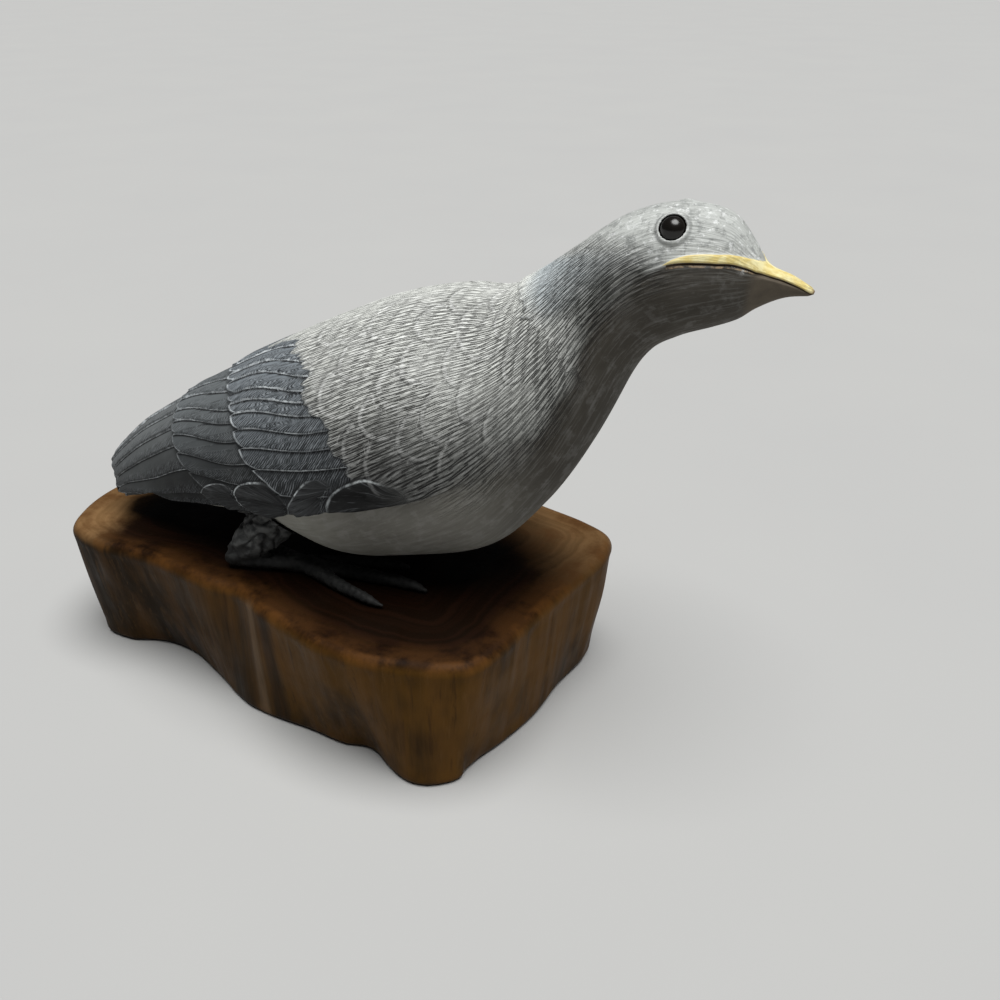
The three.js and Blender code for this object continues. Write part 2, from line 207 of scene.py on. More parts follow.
# %% [markdown]
# ## Tiers of feathers
#
# The feathers lie in tiers like roof tiles: tail, long wing feathers, their coverts, the mantle
# over the shoulders, and the nape. Each tier ends in a raised lip toward the tail, and within a
# tier each feather's lower edge stands over the next one. Two small tables per tier say where
# the lower edges run at the tier's rear and front, and one line of numbers says where its tips lie.

# %% Feather tiers
TAIL_EDGES = (0, [84, 67, 49, 34, 19, 4, -26], 2.6, [80, 62, 45, 29, 9, -12, -27])
LONG_EDGES = (3.0, [82, 70, 58, 48, 37, 23, 9, -5, -28], 4.2, [66, 54, 41, 33, 22, 9, -2, -9, -22])
COVERT_EDGES = (4.3, [79, 68, 60, 50, 43.5, 37, 28, 18, 7, -4, -22],
                5.4, [64, 54, 46, 39, 34, 28, 20.5, 13, 4.5, -5, -12])
TIP_ANGLES = [90, 75, 60, 50, 40, 30, 20, 10, 0, -14, -30, -90]
LONG_TIPS = [2.94, 2.97, 3.0, 3.02, 3.05, 3.1, 3.17, 3.27, 3.42, 3.66, 3.7, 3.7]
COVERT_TIPS = [3.72, 3.85, 3.98, 4.08, 4.16, 4.22, 4.29, 4.37, 4.62, 4.95, 4.98, 4.98]
MANTLE_TIPS = [4.3, 4.88, 5.08, 5.2, 5.3, 5.4, 5.62, 5.7, 5.86, 6.2, 6.2, 6.2]
NAPE_TIPS = [8.42, 8.5, 8.66, 8.78, 8.9, 9.06, 9.2, 9.32, 9.42, 9.5, 9.6, 9.6]
CORNER_POWER = 3.5


def feather_count(place, angle, edges):
    """Which feather of a tier a point is on: whole numbers fall on the feathers' lower edges."""
    rear, rear_angles, front, front_angles = edges
    f = smooth(place, rear, front)
    count, upper = np.zeros_like(angle), np.full_like(angle, 90)
    for a, b in zip(rear_angles, front_angles):
        lower = a + (b - a) * f
        count = count + np.clip((upper - angle) / (upper - lower), 0, 1)
        upper = lower
    return count


def tip_line(angle, tips):
    """Place of a tier's tips at each angle, read between the table's angles."""
    return np.interp(-angle, -np.array(TIP_ANGLES, float), tips)


def rounded_tips(angle, tips, edges, corner):
    """Where a tier ends at each angle: its own line, cut back at each feather's lower corner."""
    line = tip_line(angle, tips)
    across = feather_count(line, angle, edges) % 1
    return line + corner * across**CORNER_POWER


print("feather edges on a side:", *(len(edges[1]) for edges in (TAIL_EDGES, LONG_EDGES, COVERT_EDGES)))


# %% [markdown]
# The skin is one grid. Its columns run from tail to bill, close together over the back and sides
# where the carving is, wider on the belly. Its rows bend so that one pair of rows always lies on
# each tier's tips: the step there is then clean, which evenly spaced rows could not give.
# The tail ends in round tips of its own, and mantle and nape end in an uneven line.

# %% Where each tier of rows ends
BELLY_COLUMNS, UPPER_COLUMNS, LOWEST_CARVED = 24, 160, -32
TIP_CORNER, TAIL_TIP_DEPTH = 0.13, 0.32
TAIL_LINE = ([0, 5, 12, 19, 27, 42, 60], [-0.3, -0.4, -0.55, -0.55, -0.35, -0.05, 0.1])
NECK_PLACE, EYE_PLACE = 11.4, 12.45

half_turn = np.concatenate([
    np.linspace(-90, LOWEST_CARVED, BELLY_COLUMNS, endpoint=False),
    np.linspace(LOWEST_CARVED, 90, UPPER_COLUMNS, endpoint=False),
])
angles = np.concatenate([half_turn, [90], half_turn[:0:-1]])
sides = np.concatenate([-np.ones(len(half_turn) + 1), np.ones(len(half_turn) - 1)])
on_wing_column = smooth(angles, LOWEST_CARVED, LOWEST_CARVED + 8)


def jagged(wide, wide_depth, narrow, narrow_depth, seed):
    """Uneven line round the bird: slow noise and quick noise, their widths in degrees."""
    flat = np.zeros_like(angles)
    slow = wide_depth * noise(angles / wide, flat, seed)
    return slow + narrow_depth * noise(angles / narrow, flat, seed + 1)


from_side = np.abs(angles)
tail_across = feather_count(np.zeros_like(angles), from_side, TAIL_EDGES) % 1
tail_tips = TAIL_TIP_DEPTH * smooth(from_side, 0, 8) * (2 * tail_across - 1) ** 2
tail_end = tail_tips + np.interp(from_side, *TAIL_LINE)
nape_jitter = jagged(5, 0.12, 1.6, 0.12, 5) * on_wing_column * (1 - 0.7 * smooth(angles, 40, 60))
stops = np.stack([
    tail_end,
    rounded_tips(angles, LONG_TIPS, LONG_EDGES, TIP_CORNER * on_wing_column),
    rounded_tips(angles, COVERT_TIPS, COVERT_EDGES, TIP_CORNER * on_wing_column),
    tip_line(angles, MANTLE_TIPS) + jagged(6, 0.09, 1.4, 0.05, 3) * on_wing_column,
    tip_line(angles, NAPE_TIPS) + nape_jitter,
    *(np.full_like(angles, stop) for stop in (NECK_PLACE, EYE_PLACE, BILL_ROOT, BILL_TIP)),
])
print("lines round the bird:", len(stops), "columns:", len(angles))

# %% [markdown]
# Every tier gets its own number of rows, more where the carving is fine. Where one tier steps
# down to the next, the last row of one and the first row of the other lie a hair apart.

# %% Grid of the skin
TAIL, LONG, COVERTS, MANTLE, NECK = range(5)
ROWS = {"tail": 54, "long": 24, "coverts": 30, "mantle": 72, "neck": 22, "eye": 28, "face": 22, "bill": 16}
STEP_LENGTH = 0.03

row_places, row_tiers, row_along = [], [], []
for number, count in enumerate(ROWS.values()):
    gap = STEP_LENGTH if number < NECK else 0
    first = 0 if number <= NECK else 1
    fraction = np.linspace(0, 1, count)[first:, None]
    row_places.append(stops[number] + (stops[number + 1] - gap - stops[number]) * fraction)
    row_tiers.append(np.full(count - first, number))
    row_along.append(fraction[:, 0])
place = np.concatenate(row_places)
tier = np.concatenate(row_tiers)[:, None] + np.zeros_like(place, int)
along = np.concatenate(row_along)[:, None] + np.zeros_like(place)
angle = angles + np.zeros_like(place)
side = sides + np.zeros_like(place)
columns = place.shape[1]
print("rows x columns:", *place.shape, "squares:", place.size)

# %% [markdown]
# ## Carved relief
#
# On each row and column the relief is a sum of simple parts: the step of the tier, the sloping
# face of each feather up to its raised edge, the wing standing over the flank, and the grooves
# that a hot pen burns into the mantle. Every part is a height in millimetres over the plain skin.

# %% Relief of the feathers
SKIN_INSET, WING_LIFT, FEATHER_EDGE = 0.5, 0.8, 0.7
TIER_STEPS = np.array([0, 1.1, 0.9, 0.7, 0.45, 0, 0, 0])
EDGE_FALL = 0.085
SHOULDER = (6.3, 8.2)
# places from tail to bill, and the angle of the wing's and the face's lower edge there
WING_EDGE = (
    [0, 2, 3, 4.2, 4.82, 5.42, 6.03, 7.6, 8.3, 8.9, 9.4, 10, 12, 13, 13.5, 14, 14.5, 15, 15.5, 16, 17],
    [-14, -26, -28, -26, -14, -11, -12, -12, -17, -18, -9, 3, 13.5, 15.5, 19.8, 23.5, 25, 34, 38, 32, 0],
)

edges_of = {TAIL: TAIL_EDGES, LONG: LONG_EDGES, COVERTS: COVERT_EDGES}
count = np.full_like(place, 0.5)
for number, edges in edges_of.items():
    count = np.where(tier == number, feather_count(place, angle, edges), count)
across = count % 1
face = np.where(across < 1 - EDGE_FALL, across / (1 - EDGE_FALL), (1 - across) / EDGE_FALL)

wing_edge = np.interp(place, *WING_EDGE)
on_wing = smooth(angle, wing_edge - 0.9, wing_edge + 0.3)
wing_fade = 1 - smooth(place, *SHOULDER)
fade_power = np.where(tier == MANTLE, 2.0, np.where(tier == NECK, 5.0, 1.0))
tier_lift = TIER_STEPS[tier] * (1 - along) ** fade_power
tier_lift = tier_lift * np.where(tier == NECK, smooth(angle, 22, 46), 1)
lift = on_wing * (
    tier_lift
    + WING_LIFT * wing_fade * smooth(place, 1, 3)
    + FEATHER_EDGE * (tier < MANTLE) * face * smooth(place, -0.2, 0.4)
) - SKIN_INSET * (1 - smooth(place, 6, 9))
print("highest feather:", round(float(lift.max()), 2), "mm over the plain skin")

# %% [markdown]
# The carver draws the barbs with a hot pen: short dark strokes side by side, a little under a
# millimetre apart, that run along the bird and a little uphill behind the shoulder. `comb` is the
# distance across that flow. Each whole number of spacings is one line of strokes, and sines with
# a different start for every line make it waver and break. The material repeats the same sines,
# so the dark wash lies exactly in the cut. The neck is thinner, so its lines are fewer.

# %% Burned strokes
STROKE_SPACING, NECK_SPACING, STROKE_DEPTH, STROKE_HALF = 0.86, 1.6, 0.12, 0.5
# width of one degree round the body, and the body's radius in mm where a degree is that wide
DEGREE_MM, DEGREE_RADIUS = 0.6, 34.4
# radians per mm, shift from line to line, shift on the left side, and size of each sine
WANDER = (0.27, 2.13, 2.0, 0.25)
CUT_SHORT, CUT_LONG = (1.05, 2.4, 3.0, 0.5), (0.41, 4.11, 0.0, 0.5)
CUT_MIDDLE = 0.6

u = travelled(place)
v = side * (90 - angle) * DEGREE_MM
left = (side > 0).astype(float)
slope = (0.05 + 0.27 * (1 - smooth(place, 5.8, 7.6)) * (1 - smooth(angle, 5, 90))
         + 0.10 * smooth(place, 8, 9))
uphill = np.cumsum(np.vstack([np.zeros(columns), np.diff(u, axis=0) * slope[1:]]), axis=0)
comb = (90 - angle) * DEGREE_MM + uphill + 0.9 * noise(u / 24, v / 10, 11) + 0.22 * noise(u / 4, v / 3, 12)
spacing = np.where(tier >= NECK, NECK_SPACING, STROKE_SPACING)
body_radius = np.interp(place, np.arange(len(SECTIONS)), np.mean(np.array(SECTIONS)[:, 3:5], axis=1))
spacing_mm = spacing * body_radius / DEGREE_RADIUS
line = np.floor(comb / spacing)


def wave(rate, step, start_left, size):
    """Sine along the bird that starts anew on every line of strokes and on the left side."""
    return size * np.sin(rate * u + step * line + start_left * left)


off = np.abs(comb / spacing - line - (0.5 + wave(*WANDER))) * spacing_mm
cut_depth = np.clip(CUT_MIDDLE + wave(*CUT_SHORT) + wave(*CUT_LONG), 0, 1)
print("strokes on each side:", int(np.ptp(line[tier == MANTLE]) + 1))

# %% [markdown]
# `burnt` says how fully a spot is worked with the pen: all over mantle and neck, fading out to the
# breast below and to the head in front, and lighter along the back's ridge and the nape.

# %% Where the pen has been
mantle = (tier >= MANTLE) * (1 - smooth(place, 8.4, 9.3))
on_nape = smooth(place, 8.2, 8.8) * (1 - smooth(place, 9.6, 10.2))
burnt = (tier >= MANTLE) * smooth(angle, wing_edge - 26, wing_edge + 4)
burnt = burnt * (1 - 0.35 * smooth(angle, 60, 86) * mantle)
burnt = burnt * np.maximum(smooth(place, 6.4, 7.8), smooth(angle, wing_edge - 3, wing_edge + 2))
burnt = burnt * (1 - 0.4 * smooth(angle, 40, 65) * on_nape)
burnt = burnt * (1 - 0.85 * smooth(place + (angle - 45) / 40, 10.5, 11.3))
print("points the pen has reached:", int((burnt > 0.1).sum()))

# %% [markdown]
# The mantle also shows faint rounded feathers, and four small ones with pale rims and fanning
# lines lie along the wing's lower edge. Each is an oval around its own middle; its number is the
# distance in from its rim. They are laid on in order from the tail forward, as tiles are, so a
# front one covers the end of the one behind it.

# %% Small rounded feathers
# place of the rear end, angle of the middle, half length and half width in mm, turn in degrees
WING_OVALS = [
    (3.36, -12, 9, 6, 0), (4.0, -11, 10, 6.3, 0), (4.76, -9, 9.5, 4.6, 24), (5.42, -9.5, 12, 4.8, -2),
]
MANTLE_OVALS = [
    (5.22, 73, 9, 8, 25), (5.3, 24, 8, 6, 10), (5.45, 36, 8, 6.5, 10), (5.66, 51, 8, 7, 30),
    (5.75, 14, 8, 6, 20), (5.98, 6, 11, 8, 30), (5.95, 67, 9, 8, 5), (6.0, 24, 8, 6, 12),
    (6.22, 34, 8, 5.5, 12), (6.45, 13, 8, 6, 15), (6.5, 43, 8, 6.5, 8), (6.6, 60, 8, 6, 0),
    (6.76, 20, 9, 7, 30), (6.88, -2, 10, 7, 25), (7.1, 38, 8, 7, 12), (7.0, 74, 10, 8, 0),
    (7.3, 22, 9, 7, 35), (7.3, 54, 11, 11, 25), (7.7, 4, 10, 7, 30), (7.8, 72, 9, 8, 0),
    (8.02, 53, 8, 8, 20), (8.2, 25, 9, 7, 15), (9.33, 45, 7, 6, 10),
]
OVAL_DEGREE_MM, RIM_OUTSIDE, OVAL_WOBBLE = 0.56, -0.8, 0.35


def laid_on(rows):
    """Distance in from the rim of the foremost oval at each point, how far along that oval the
    point is (-1 rear end, 1 front end), and the turn around its front end."""
    inward, along_it, turn_at = (np.full_like(place, value) for value in (-9.0, 1.0, 0.0))
    for rear, middle_angle, length, width, turn in rows:
        a = u - travelled(rear) - length + OVAL_WOBBLE * noise(u / 4, v / 4, 8)
        b = (angle - middle_angle) * OVAL_DEGREE_MM + OVAL_WOBBLE * noise(u / 5, v / 4, 9)
        c, s = math.cos(math.radians(turn)), math.sin(math.radians(turn))
        a, b = a * c + b * s, b * c - a * s
        inside = (1 - np.sqrt((a / length) ** 2 + (b / width) ** 2)) * width
        over = (inside > RIM_OUTSIDE) | (inside > inward)
        inward = np.where(over, inside, inward)
        along_it = np.where(over, a / length, along_it)
        turn_at = np.where(over, np.arctan2(b, length - a), turn_at)
    return inward, along_it, turn_at


ovals, oval_along, oval_turn = laid_on(WING_OVALS)
in_oval = smooth(ovals, -0.3, 0.3) * on_wing
oval_rim = (1 - smooth(oval_along, -0.1, 0.6)) * on_wing
scallops, scallop_along, _ = laid_on(MANTLE_OVALS)
scallop_rim = mantle * on_wing * (1 - smooth(scallop_along, -0.3, 0.5)) * smooth(angle, -10, 2)
rim_shape = bell(scallops, 0.8, 0.8) - 0.9 * bell(scallops, -0.5, 0.5)
lift = lift + in_oval * (0.4 - 0.25 * oval_along)
lift = lift + 0.07 * scallop_rim * rim_shape
lift = lift - STROKE_DEPTH * burnt * cut_depth * (1 - smooth(off, 0, STROKE_HALF))
lift = lift + 0.12 * burnt * noise(u / 9, comb / 1.9, 13)
print("small feathers:", len(WING_OVALS), "on the wing,", len(MANTLE_OVALS), "on the mantle")

# %% [markdown]
# ## Head
#
# The closed bill is a raised yellow band that starts under the eye, and a dark cut runs below it.
# `beak` is the distance in mm in from the band's edges and `cleft` the distance down from its
# lower edge, so relief and paint can follow the same lines. The head is only softly uneven.

# %% Relief of the head
BAND_TOP = ([11.6, 11.8, 12.0, 12.3, 12.6, 13.0, 13.5, 14.0, 14.37, 14.62, 14.7, 17],
            [12, 14, 17, 20, 22, 24.5, 31, 40, 50, 68, 90, 90])
BAND_LOW = ([11.6, 12.0, 12.5, 13.0, 13.25, 13.5, 14.0, 14.5, 15.0, 15.5, 16.0, 16.5, 17],
            [13, 13.5, 14, 15.5, 17.5, 19.8, 23.5, 25, 34, 38, 32, 25, 0])
HEAD_DEGREE_MM = ([11, 12, 13, 14, 15, 16, 17], [0.26, 0.26, 0.22, 0.15, 0.1, 0.06, 0.03])
BAND_HEIGHT, CUT_WIDTH, CUT_DEPTH, LIP_HEIGHT = 0.42, 0.25, 0.35, 0.14
MOUTH_CORNER, BROW = 11.85, 14.7
HEAD_LEAN = 0.027

round_mm = np.interp(place, *HEAD_DEGREE_MM)
below_band = (np.interp(place, *BAND_LOW) - angle) * round_mm
beak = np.minimum((np.interp(place, *BAND_TOP) - angle) * round_mm, -below_band)
cleft = np.where(place > MOUTH_CORNER, below_band, 9.0)
under_bill = smooth(place, 14.0, 14.7) * (cleft > 0)
under_brow = bell(place, BROW, 0.3) * smooth(angle, 40, 70)
closed = smooth(place, 11.9, 12.3) * (1 - 0.7 * smooth(place, 15, 17))
lift = lift + BAND_HEIGHT * smooth(beak, -0.1, 0.3) * (1 - under_brow)
lift = lift - 0.4 * smooth(place, 16.82, 17)
lift = lift - CUT_DEPTH * bell(cleft, CUT_WIDTH, CUT_WIDTH) * closed
lift = lift + LIP_HEIGHT * bell(cleft, 0.75, 0.28) * closed * (1 - smooth(place, 14.2, 14.8))

uneven = noise(u / 2.4, v / 2.0, 21) + 0.5 * noise(u / 1.2, v / 1.1, 22)
in_front = smooth(place + HEAD_LEAN * angle, 11.5, 12.1)
on_head = in_front * (1 - smooth(beak, -0.4, 0.1)) * smooth(angle, 12, 18)
soft_streaks = noise(u / 9, v / 2.2, 31) + 0.5 * noise(u / 4, v / 1.2, 32)
lift = lift + (0.08 * uneven - 0.12) * on_head
lift = lift + 0.04 * soft_streaks * (1 - on_wing) * (1 - under_bill)
points = skin(place, angle, side, lift)
print("deepest cut:", round(float(lift.min()), 2), "mm under the plain skin")

# %% [markdown]
# The eye sockets are sunk by moving points, not by cutting: around the eye's axis each point goes
# onto a ball a little larger than the glass, so the lids close over the eye and only its front is
# seen. Past that rim the lid falls back to the skin. The number `lid` is the distance out from
# the rim, and the paint of the lids follows it.

# %% Eye sockets and lids
EYE_RADIUS, SOCKET_SPARE = 3.1, 0.22
SOCKET_RADIUS = EYE_RADIUS + SOCKET_SPARE
EYE_CENTRE = np.array([65.7, 8.5, 105.5])
LID_AXIS = np.array([-0.03, 0.88, 0.48])
RIM_TURN = ([-1, 0, 1], [60, 65, 74])
FAR_AWAY = 20.0

lid = np.full_like(place, FAR_AWAY)
for one_side in (-1, 1):
    turned = np.array([1, one_side, 1])
    centre = BIRD_ORIGIN + EYE_CENTRE * turned
    axis = LID_AXIS * turned / np.linalg.norm(LID_AXIS)
    from_eye = points - centre
    deep = from_eye @ axis
    sideways = from_eye - deep[..., None] * axis
    far = np.linalg.norm(sideways, axis=-1)
    outward = sideways / (far + 1e-9)[..., None]
    near_eye = (deep > -2.5) & (far < 9) & (np.sign(points[..., 1] - BIRD_ORIGIN[1]) == one_side)
    far = np.where(near_eye, far, FAR_AWAY)
    rim_turn = np.radians(np.interp(outward[..., 2], *RIM_TURN))
    rim_radius, rim_height = SOCKET_RADIUS * np.sin(rim_turn), SOCKET_RADIUS * np.cos(rim_turn)
    past_rim = far - rim_radius
    lid = np.minimum(lid, past_rim)
    turn = np.pi - (np.pi - rim_turn) * np.clip(far / rim_radius, 0, 1)
    cup = SOCKET_RADIUS * (np.sin(turn)[..., None] * outward + np.cos(turn)[..., None] * axis)
    ridge = 0.16 * bell(past_rim, 0.3, 0.22) - 0.14 * bell(past_rim, 1.3, 0.4)
    height = rim_height + (deep - rim_height) * smooth(past_rim, 0.3, 1.6) + ridge
    lifted = far[..., None] * outward + height[..., None] * axis
    moved = centre + np.where((past_rim < 0)[..., None], cup, lifted)
    points = np.where((past_rim < 2.4)[..., None], moved, points)
print("points in the sockets:", int((lid < 0).sum()))

# %% [markdown]
# ## Colours of the paint
#
# The paint is thin: slate blue-grey on the wing and tail, pale warm grey over the mantle, darker
# blue-grey on the nape, mottled light grey on the head and a warmer grey below. Toward the lower
# sides, on the neck's side and toward the throat these greys also carry painted shade, and the
# top of wing and mantle carries painted light. The broad colours are mixed per point from the same
# places and angles; the fine work is left to the material.

# %% Broad colours of wing and mantle
def from_screen(*rgb):
    """Screen colour 0 to 255 as the linear light that a renderer mixes."""
    c = np.array(rgb, float) / 255
    return np.where(c <= 0.04045, c / 12.92, ((c + 0.055) / 1.055) ** 2.4)


def blend(a, b, f):
    """Colour a where f is 0, colour b where it is 1."""
    return a + (b - a) * np.asarray(f)[..., None]


TAIL_GREY, LONG_GREY = from_screen(85, 88, 89), from_screen(80, 84, 86)
COVERT_GREY, MANTLE_PALE = from_screen(99, 105, 110), from_screen(220, 222, 217)

cloud = noise(u / 12, v / 9, 41)
wing_colour = blend(blend(COVERT_GREY, LONG_GREY, tier == LONG), TAIL_GREY, tier == TAIL)
# Painted shade: wing and tail are painted darker toward their lower side, and lighter along the top as
# painted light.
wing_painted_shade = 0.88 * (1 - smooth(angle, -10, 45)) * (0.35 + 0.65 * smooth(place, 0.8, 3))
wing_colour = wing_colour * (1 - wing_painted_shade + 0.28 * smooth(angle, 40, 60))[..., None]
# Painted shade: `shade` darkens the mantle toward its lower side, most toward the tail.
lowest = np.interp(place, [6.3, 7.4, 8.6], [0.07, 0.22, 0.6])
full = np.interp(place, [5, 6, 7.2], [62, 54, 40])
shade = lowest + (1 - lowest) * smooth(angle + 4 * cloud, -8, full) ** 1.25
# Painted light: the upper mantle toward the neck is painted lighter.
mantle_top_light = 1 + 0.3 * smooth(place, 7.8, 8.6) * smooth(angle, 30, 60)
mantle_colour = MANTLE_PALE * (mantle_top_light * shade)[..., None]
upper = blend(wing_colour, mantle_colour, tier >= MANTLE)
print("brightest mantle:", round(float(mantle_colour.max()), 2))

# %% [markdown]
# The borders of nape, head and breast are brushed into each other, so each blend is a few
# millimetres wide and `cloud` makes it uneven. The small feathers of the wing's edge are darker.

# %% Broad colours of nape, head and breast
HEAD_GREY = from_screen(197, 200, 197)
NAPE_PALE, NECK_SIDE_SHADE = from_screen(176, 185, 189), from_screen(84, 85, 80)
BELLY_REAR, BELLY_FRONT_SHADE = from_screen(142, 141, 133), from_screen(117, 115, 108)
THROAT_SHADE, UNDERTAIL = from_screen(67, 63, 56), from_screen(72, 73, 72)
OVAL_GREY, OVAL_TINT = ([3.4, 4.4, 5.0, 5.5], [0.028, 0.022, 0.045, 0.004]), [0.95, 1, 1.05]

nape_pale = NAPE_PALE * np.interp(place, [8.4, 9.4, 10.2], [1.4, 1.2, 1])[..., None]
# Painted shade: the neck is painted dark on its side and pale toward its top.
nape_colour = blend(NECK_SIDE_SHADE, nape_pale, smooth(angle + 5 * cloud, 8, 72))
neckline = 9.7 - 0.85 * smooth(angle, 15, 50)
upper = blend(upper, nape_colour, smooth(place - neckline + 0.15 * cloud, -0.35, 0.35))
head_line = 11.75 - HEAD_LEAN * angle
head_colour = HEAD_GREY * (1 - 0.2 * smooth(angle, 62, 88))[..., None]
upper = blend(upper, head_colour, smooth(place - head_line + 0.12 * cloud, -0.3, 0.3))
# Painted shade: the breast is painted darker toward the front and darkest at the throat, under the head.
lower = blend(blend(BELLY_REAR, BELLY_FRONT_SHADE, smooth(place, 4.8, 5.8)), THROAT_SHADE, smooth(place, 6.9, 8.6))
lower = blend(UNDERTAIL, lower, smooth(place, 1.6, 3.4))
loose = 1 - wing_fade
low_line = wing_edge + 5 * loose * noise(u / 6, v / 5, 43) * (place < 11.5)
soft_border = 9 * loose * (1 - smooth(place, 11.0, 12.0))
paint = blend(lower, upper, smooth(angle, low_line - 1 - soft_border, low_line + 0.2 + soft_border))
oval_grey = np.interp(place, *OVAL_GREY)[..., None] * OVAL_TINT
paint = blend(paint, oval_grey, in_oval * smooth(oval_along, 1.3, 0.2))
paint = paint * (1 + 0.08 * cloud)[..., None]
print("mean paint:", paint.mean(axis=(0, 1)).round(3))

# %% [markdown]
# The material needs to know where on a feather it is: how far a point lies from its own tip and
# from the tips that roof it over, how wide the feather is there, and which tiers have pale rims.

# %% Numbers that the paint follows
PLACE_MM, WING_DEGREE_MM = 21.5, 0.58
EDGE_WHITE = np.array([0.75, 0.5, 1.0, 0, 0, 0, 0, 0])
TIP_WHITE = np.array([0.6, 0.45, 1.0, 0.25, 0.6, 0, 0, 0])

edge_white = EDGE_WHITE[tier] * on_wing
tip_white = TIP_WHITE[tier] * on_wing * np.where(tier == NECK, smooth(angle, 30, 46), 1)
span = np.full_like(place, 6.0)
for number, edges in edges_of.items():
    rise = np.gradient(feather_count(place, angle, edges), axis=1)
    per_degree = -rise / (np.gradient(angle, axis=1) + 1e-9)
    span = np.where(tier == number, WING_DEGREE_MM / np.clip(np.abs(per_degree), 0.03, 1), span)
own_tip = (place - stops[tier, np.arange(columns)]) * PLACE_MM
next_tip = (stops[tier + 1, np.arange(columns)] - place) * PLACE_MM
# On the mantle the painted shadow under the nape's tips is weaker, and left out low on the sides.
next_tip = next_tip + (tier == MANTLE) * (0.45 + 3 * (1 - smooth(angle, 34, 52)))
numbers = {
    "count": count, "span": np.clip(span, 2, 12),
    "edge_white": edge_white * (1 - in_oval), "tip_white": tip_white * (1 - in_oval),
    "tip": np.where(tier <= NECK, own_tip, 99), "roof": np.where(tier <= MANTLE, next_tip, 99),
    # Dry-brush paint, painted paler toward the top of mantle and head as painted light.
    "burnt": burnt * (1 - in_oval), "dry_brush_top_light": 0.22 + 0.43 * smooth(angle, -8, 45) * (tier >= MANTLE),
    "comb": comb, "travel": u, "left": left, "spacing": spacing, "spacing_mm": spacing_mm,
    "oval": ovals, "oval_rim": oval_rim, "fan": oval_turn, "scallop": scallops, "scallop_rim": scallop_rim,
    "beak": beak, "cleft": cleft, "bill_low": under_bill, "beyond": smooth(place, 16.8, 17),
    "lid": lid, "head": on_head, "wing": on_wing,
}
print("numbers on every point:", len(numbers))

# %% [markdown]
# The ends are closed by hand. The tail's end is a thin crescent: a few more rows round it off by
# drawing it in toward its own middle line, and one face with many corners fills what is left.
# The bill ends in one small face.

# %% Bird as one mesh
END_RADIUS = 0.03
END_TURNS = (1.53, 1.3, 0.95, 0.5)


def crescent(turn):
    """Row of the tail's end, drawn in and pushed back along a quarter circle."""
    shrink = 1 - math.cos(turn)
    row_place = tail_end - END_RADIUS * math.sin(turn)
    base = skin(row_place, angles, sides, lift[0])
    mirrored = skin(row_place, -angles, sides, lift[0])
    return base + (mirrored - base) * 0.5 * shrink


def spread(values):
    """Value for every point: the end's rows repeat the skin's first row."""
    values = np.concatenate([np.repeat(values[:1], len(END_TURNS), axis=0), values])
    return values.reshape(-1, *values.shape[2:])


grid = np.concatenate([[crescent(turn) for turn in END_TURNS], points])
tail_face = list(range(columns))
bill_face = list(range((len(grid) - 1) * columns, len(grid) * columns))[::-1]
carved_bird = new_piece(
    "carved_bird", grid.reshape(-1, 3), join_rows(len(grid), columns).tolist() + [tail_face, bill_face],
    {title: spread(values) for title, values in numbers.items()}, {"paint": spread(paint)})
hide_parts("bird_body")
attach(carved_bird, "root")

# %% [markdown]
# ## Glass eyes
#
# A taxidermist's glass eye is a ball seen through its lids. It is a grid of turns around the
# ball's axis; the surface is black glass, so only soft reflections tell its shape.

# %% Eyes
def ball(centre, radius, turns=56, levels=28):
    """Ball as rings of equal turn from pole to pole, one point at each pole."""
    level = np.linspace(0, np.pi, levels + 1)[1:-1, None]
    turn = np.linspace(0, 2 * np.pi, turns, endpoint=False)[None]
    out, up = np.sin(level), np.cos(level)
    ring = np.stack([out * np.cos(turn), out * np.sin(turn), up + 0 * turn], -1)
    body = centre + radius * ring
    top, bottom = (levels - 1) * turns, (levels - 1) * turns + 1
    last = (levels - 2) * turns
    fans = [[top, (c + 1) % turns, c] for c in range(turns)]
    fans += [[bottom, last + c, last + (c + 1) % turns] for c in range(turns)]
    poles = np.array([centre + [0, 0, radius], centre - np.array([0, 0, radius])])
    return np.vstack([body.reshape(-1, 3), poles]), join_rows(levels - 1, turns).tolist() + fans


eyes = []
for name, one_side in (("glass_eye_right", -1), ("glass_eye_left", 1)):
    centre = BIRD_ORIGIN + EYE_CENTRE * [1, one_side, 1]
    eye = new_piece(name, *ball(centre, EYE_RADIUS))
    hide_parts(name.replace("glass_eye", "eye"))
    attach(eye, "root")
    eyes.append(eye)

# %% [markdown]
# ## Legs
#
# The bird squats on its heels: a stout feathered thigh comes down from the flank to the heel,
# and shank and toes lie on the wood. Each limb is a round tube along a smooth line, which needs
# only a few centres and radii.

# %% Limbs as tubes
# forward of the bird's origin, out to the side, height over the wood, and radius
THIGH = [[-38, 19, 22, 8.5], [-43.5, 20.5, 13.5, 6.6], [-49, 22, 8, 4.8], [-52.5, 23, 4.6, 3.2]]
SHANK = [[-53.5, 23, 3.4, 2.9], [-46, 21.8, 2.9, 2.4], [-33, 19, 2.8, 2.7]]
TOES = [
    [[-33, 19, 2.8, 2.5], [-16, 17.5, 2.1, 2], [-1, 17.2, 1.8, 1.6], [5, 17.8, 1, 0.7]],
    [[-33, 19, 2.8, 2.4], [-19, 24.5, 2, 1.9], [-8, 28, 1.6, 1.4], [-3.5, 29, 1, 0.7]],
    [[-33, 19, 2.8, 2.4], [-20, 12.5, 2, 1.9], [-9, 9, 1.6, 1.4], [-4.5, 8, 1, 0.7]],
    [[-33, 19, 2.8, 2.3], [-42, 14.5, 2, 1.8], [-49, 12, 1.4, 1.2], [-52, 11.2, 0.9, 0.6]],
]


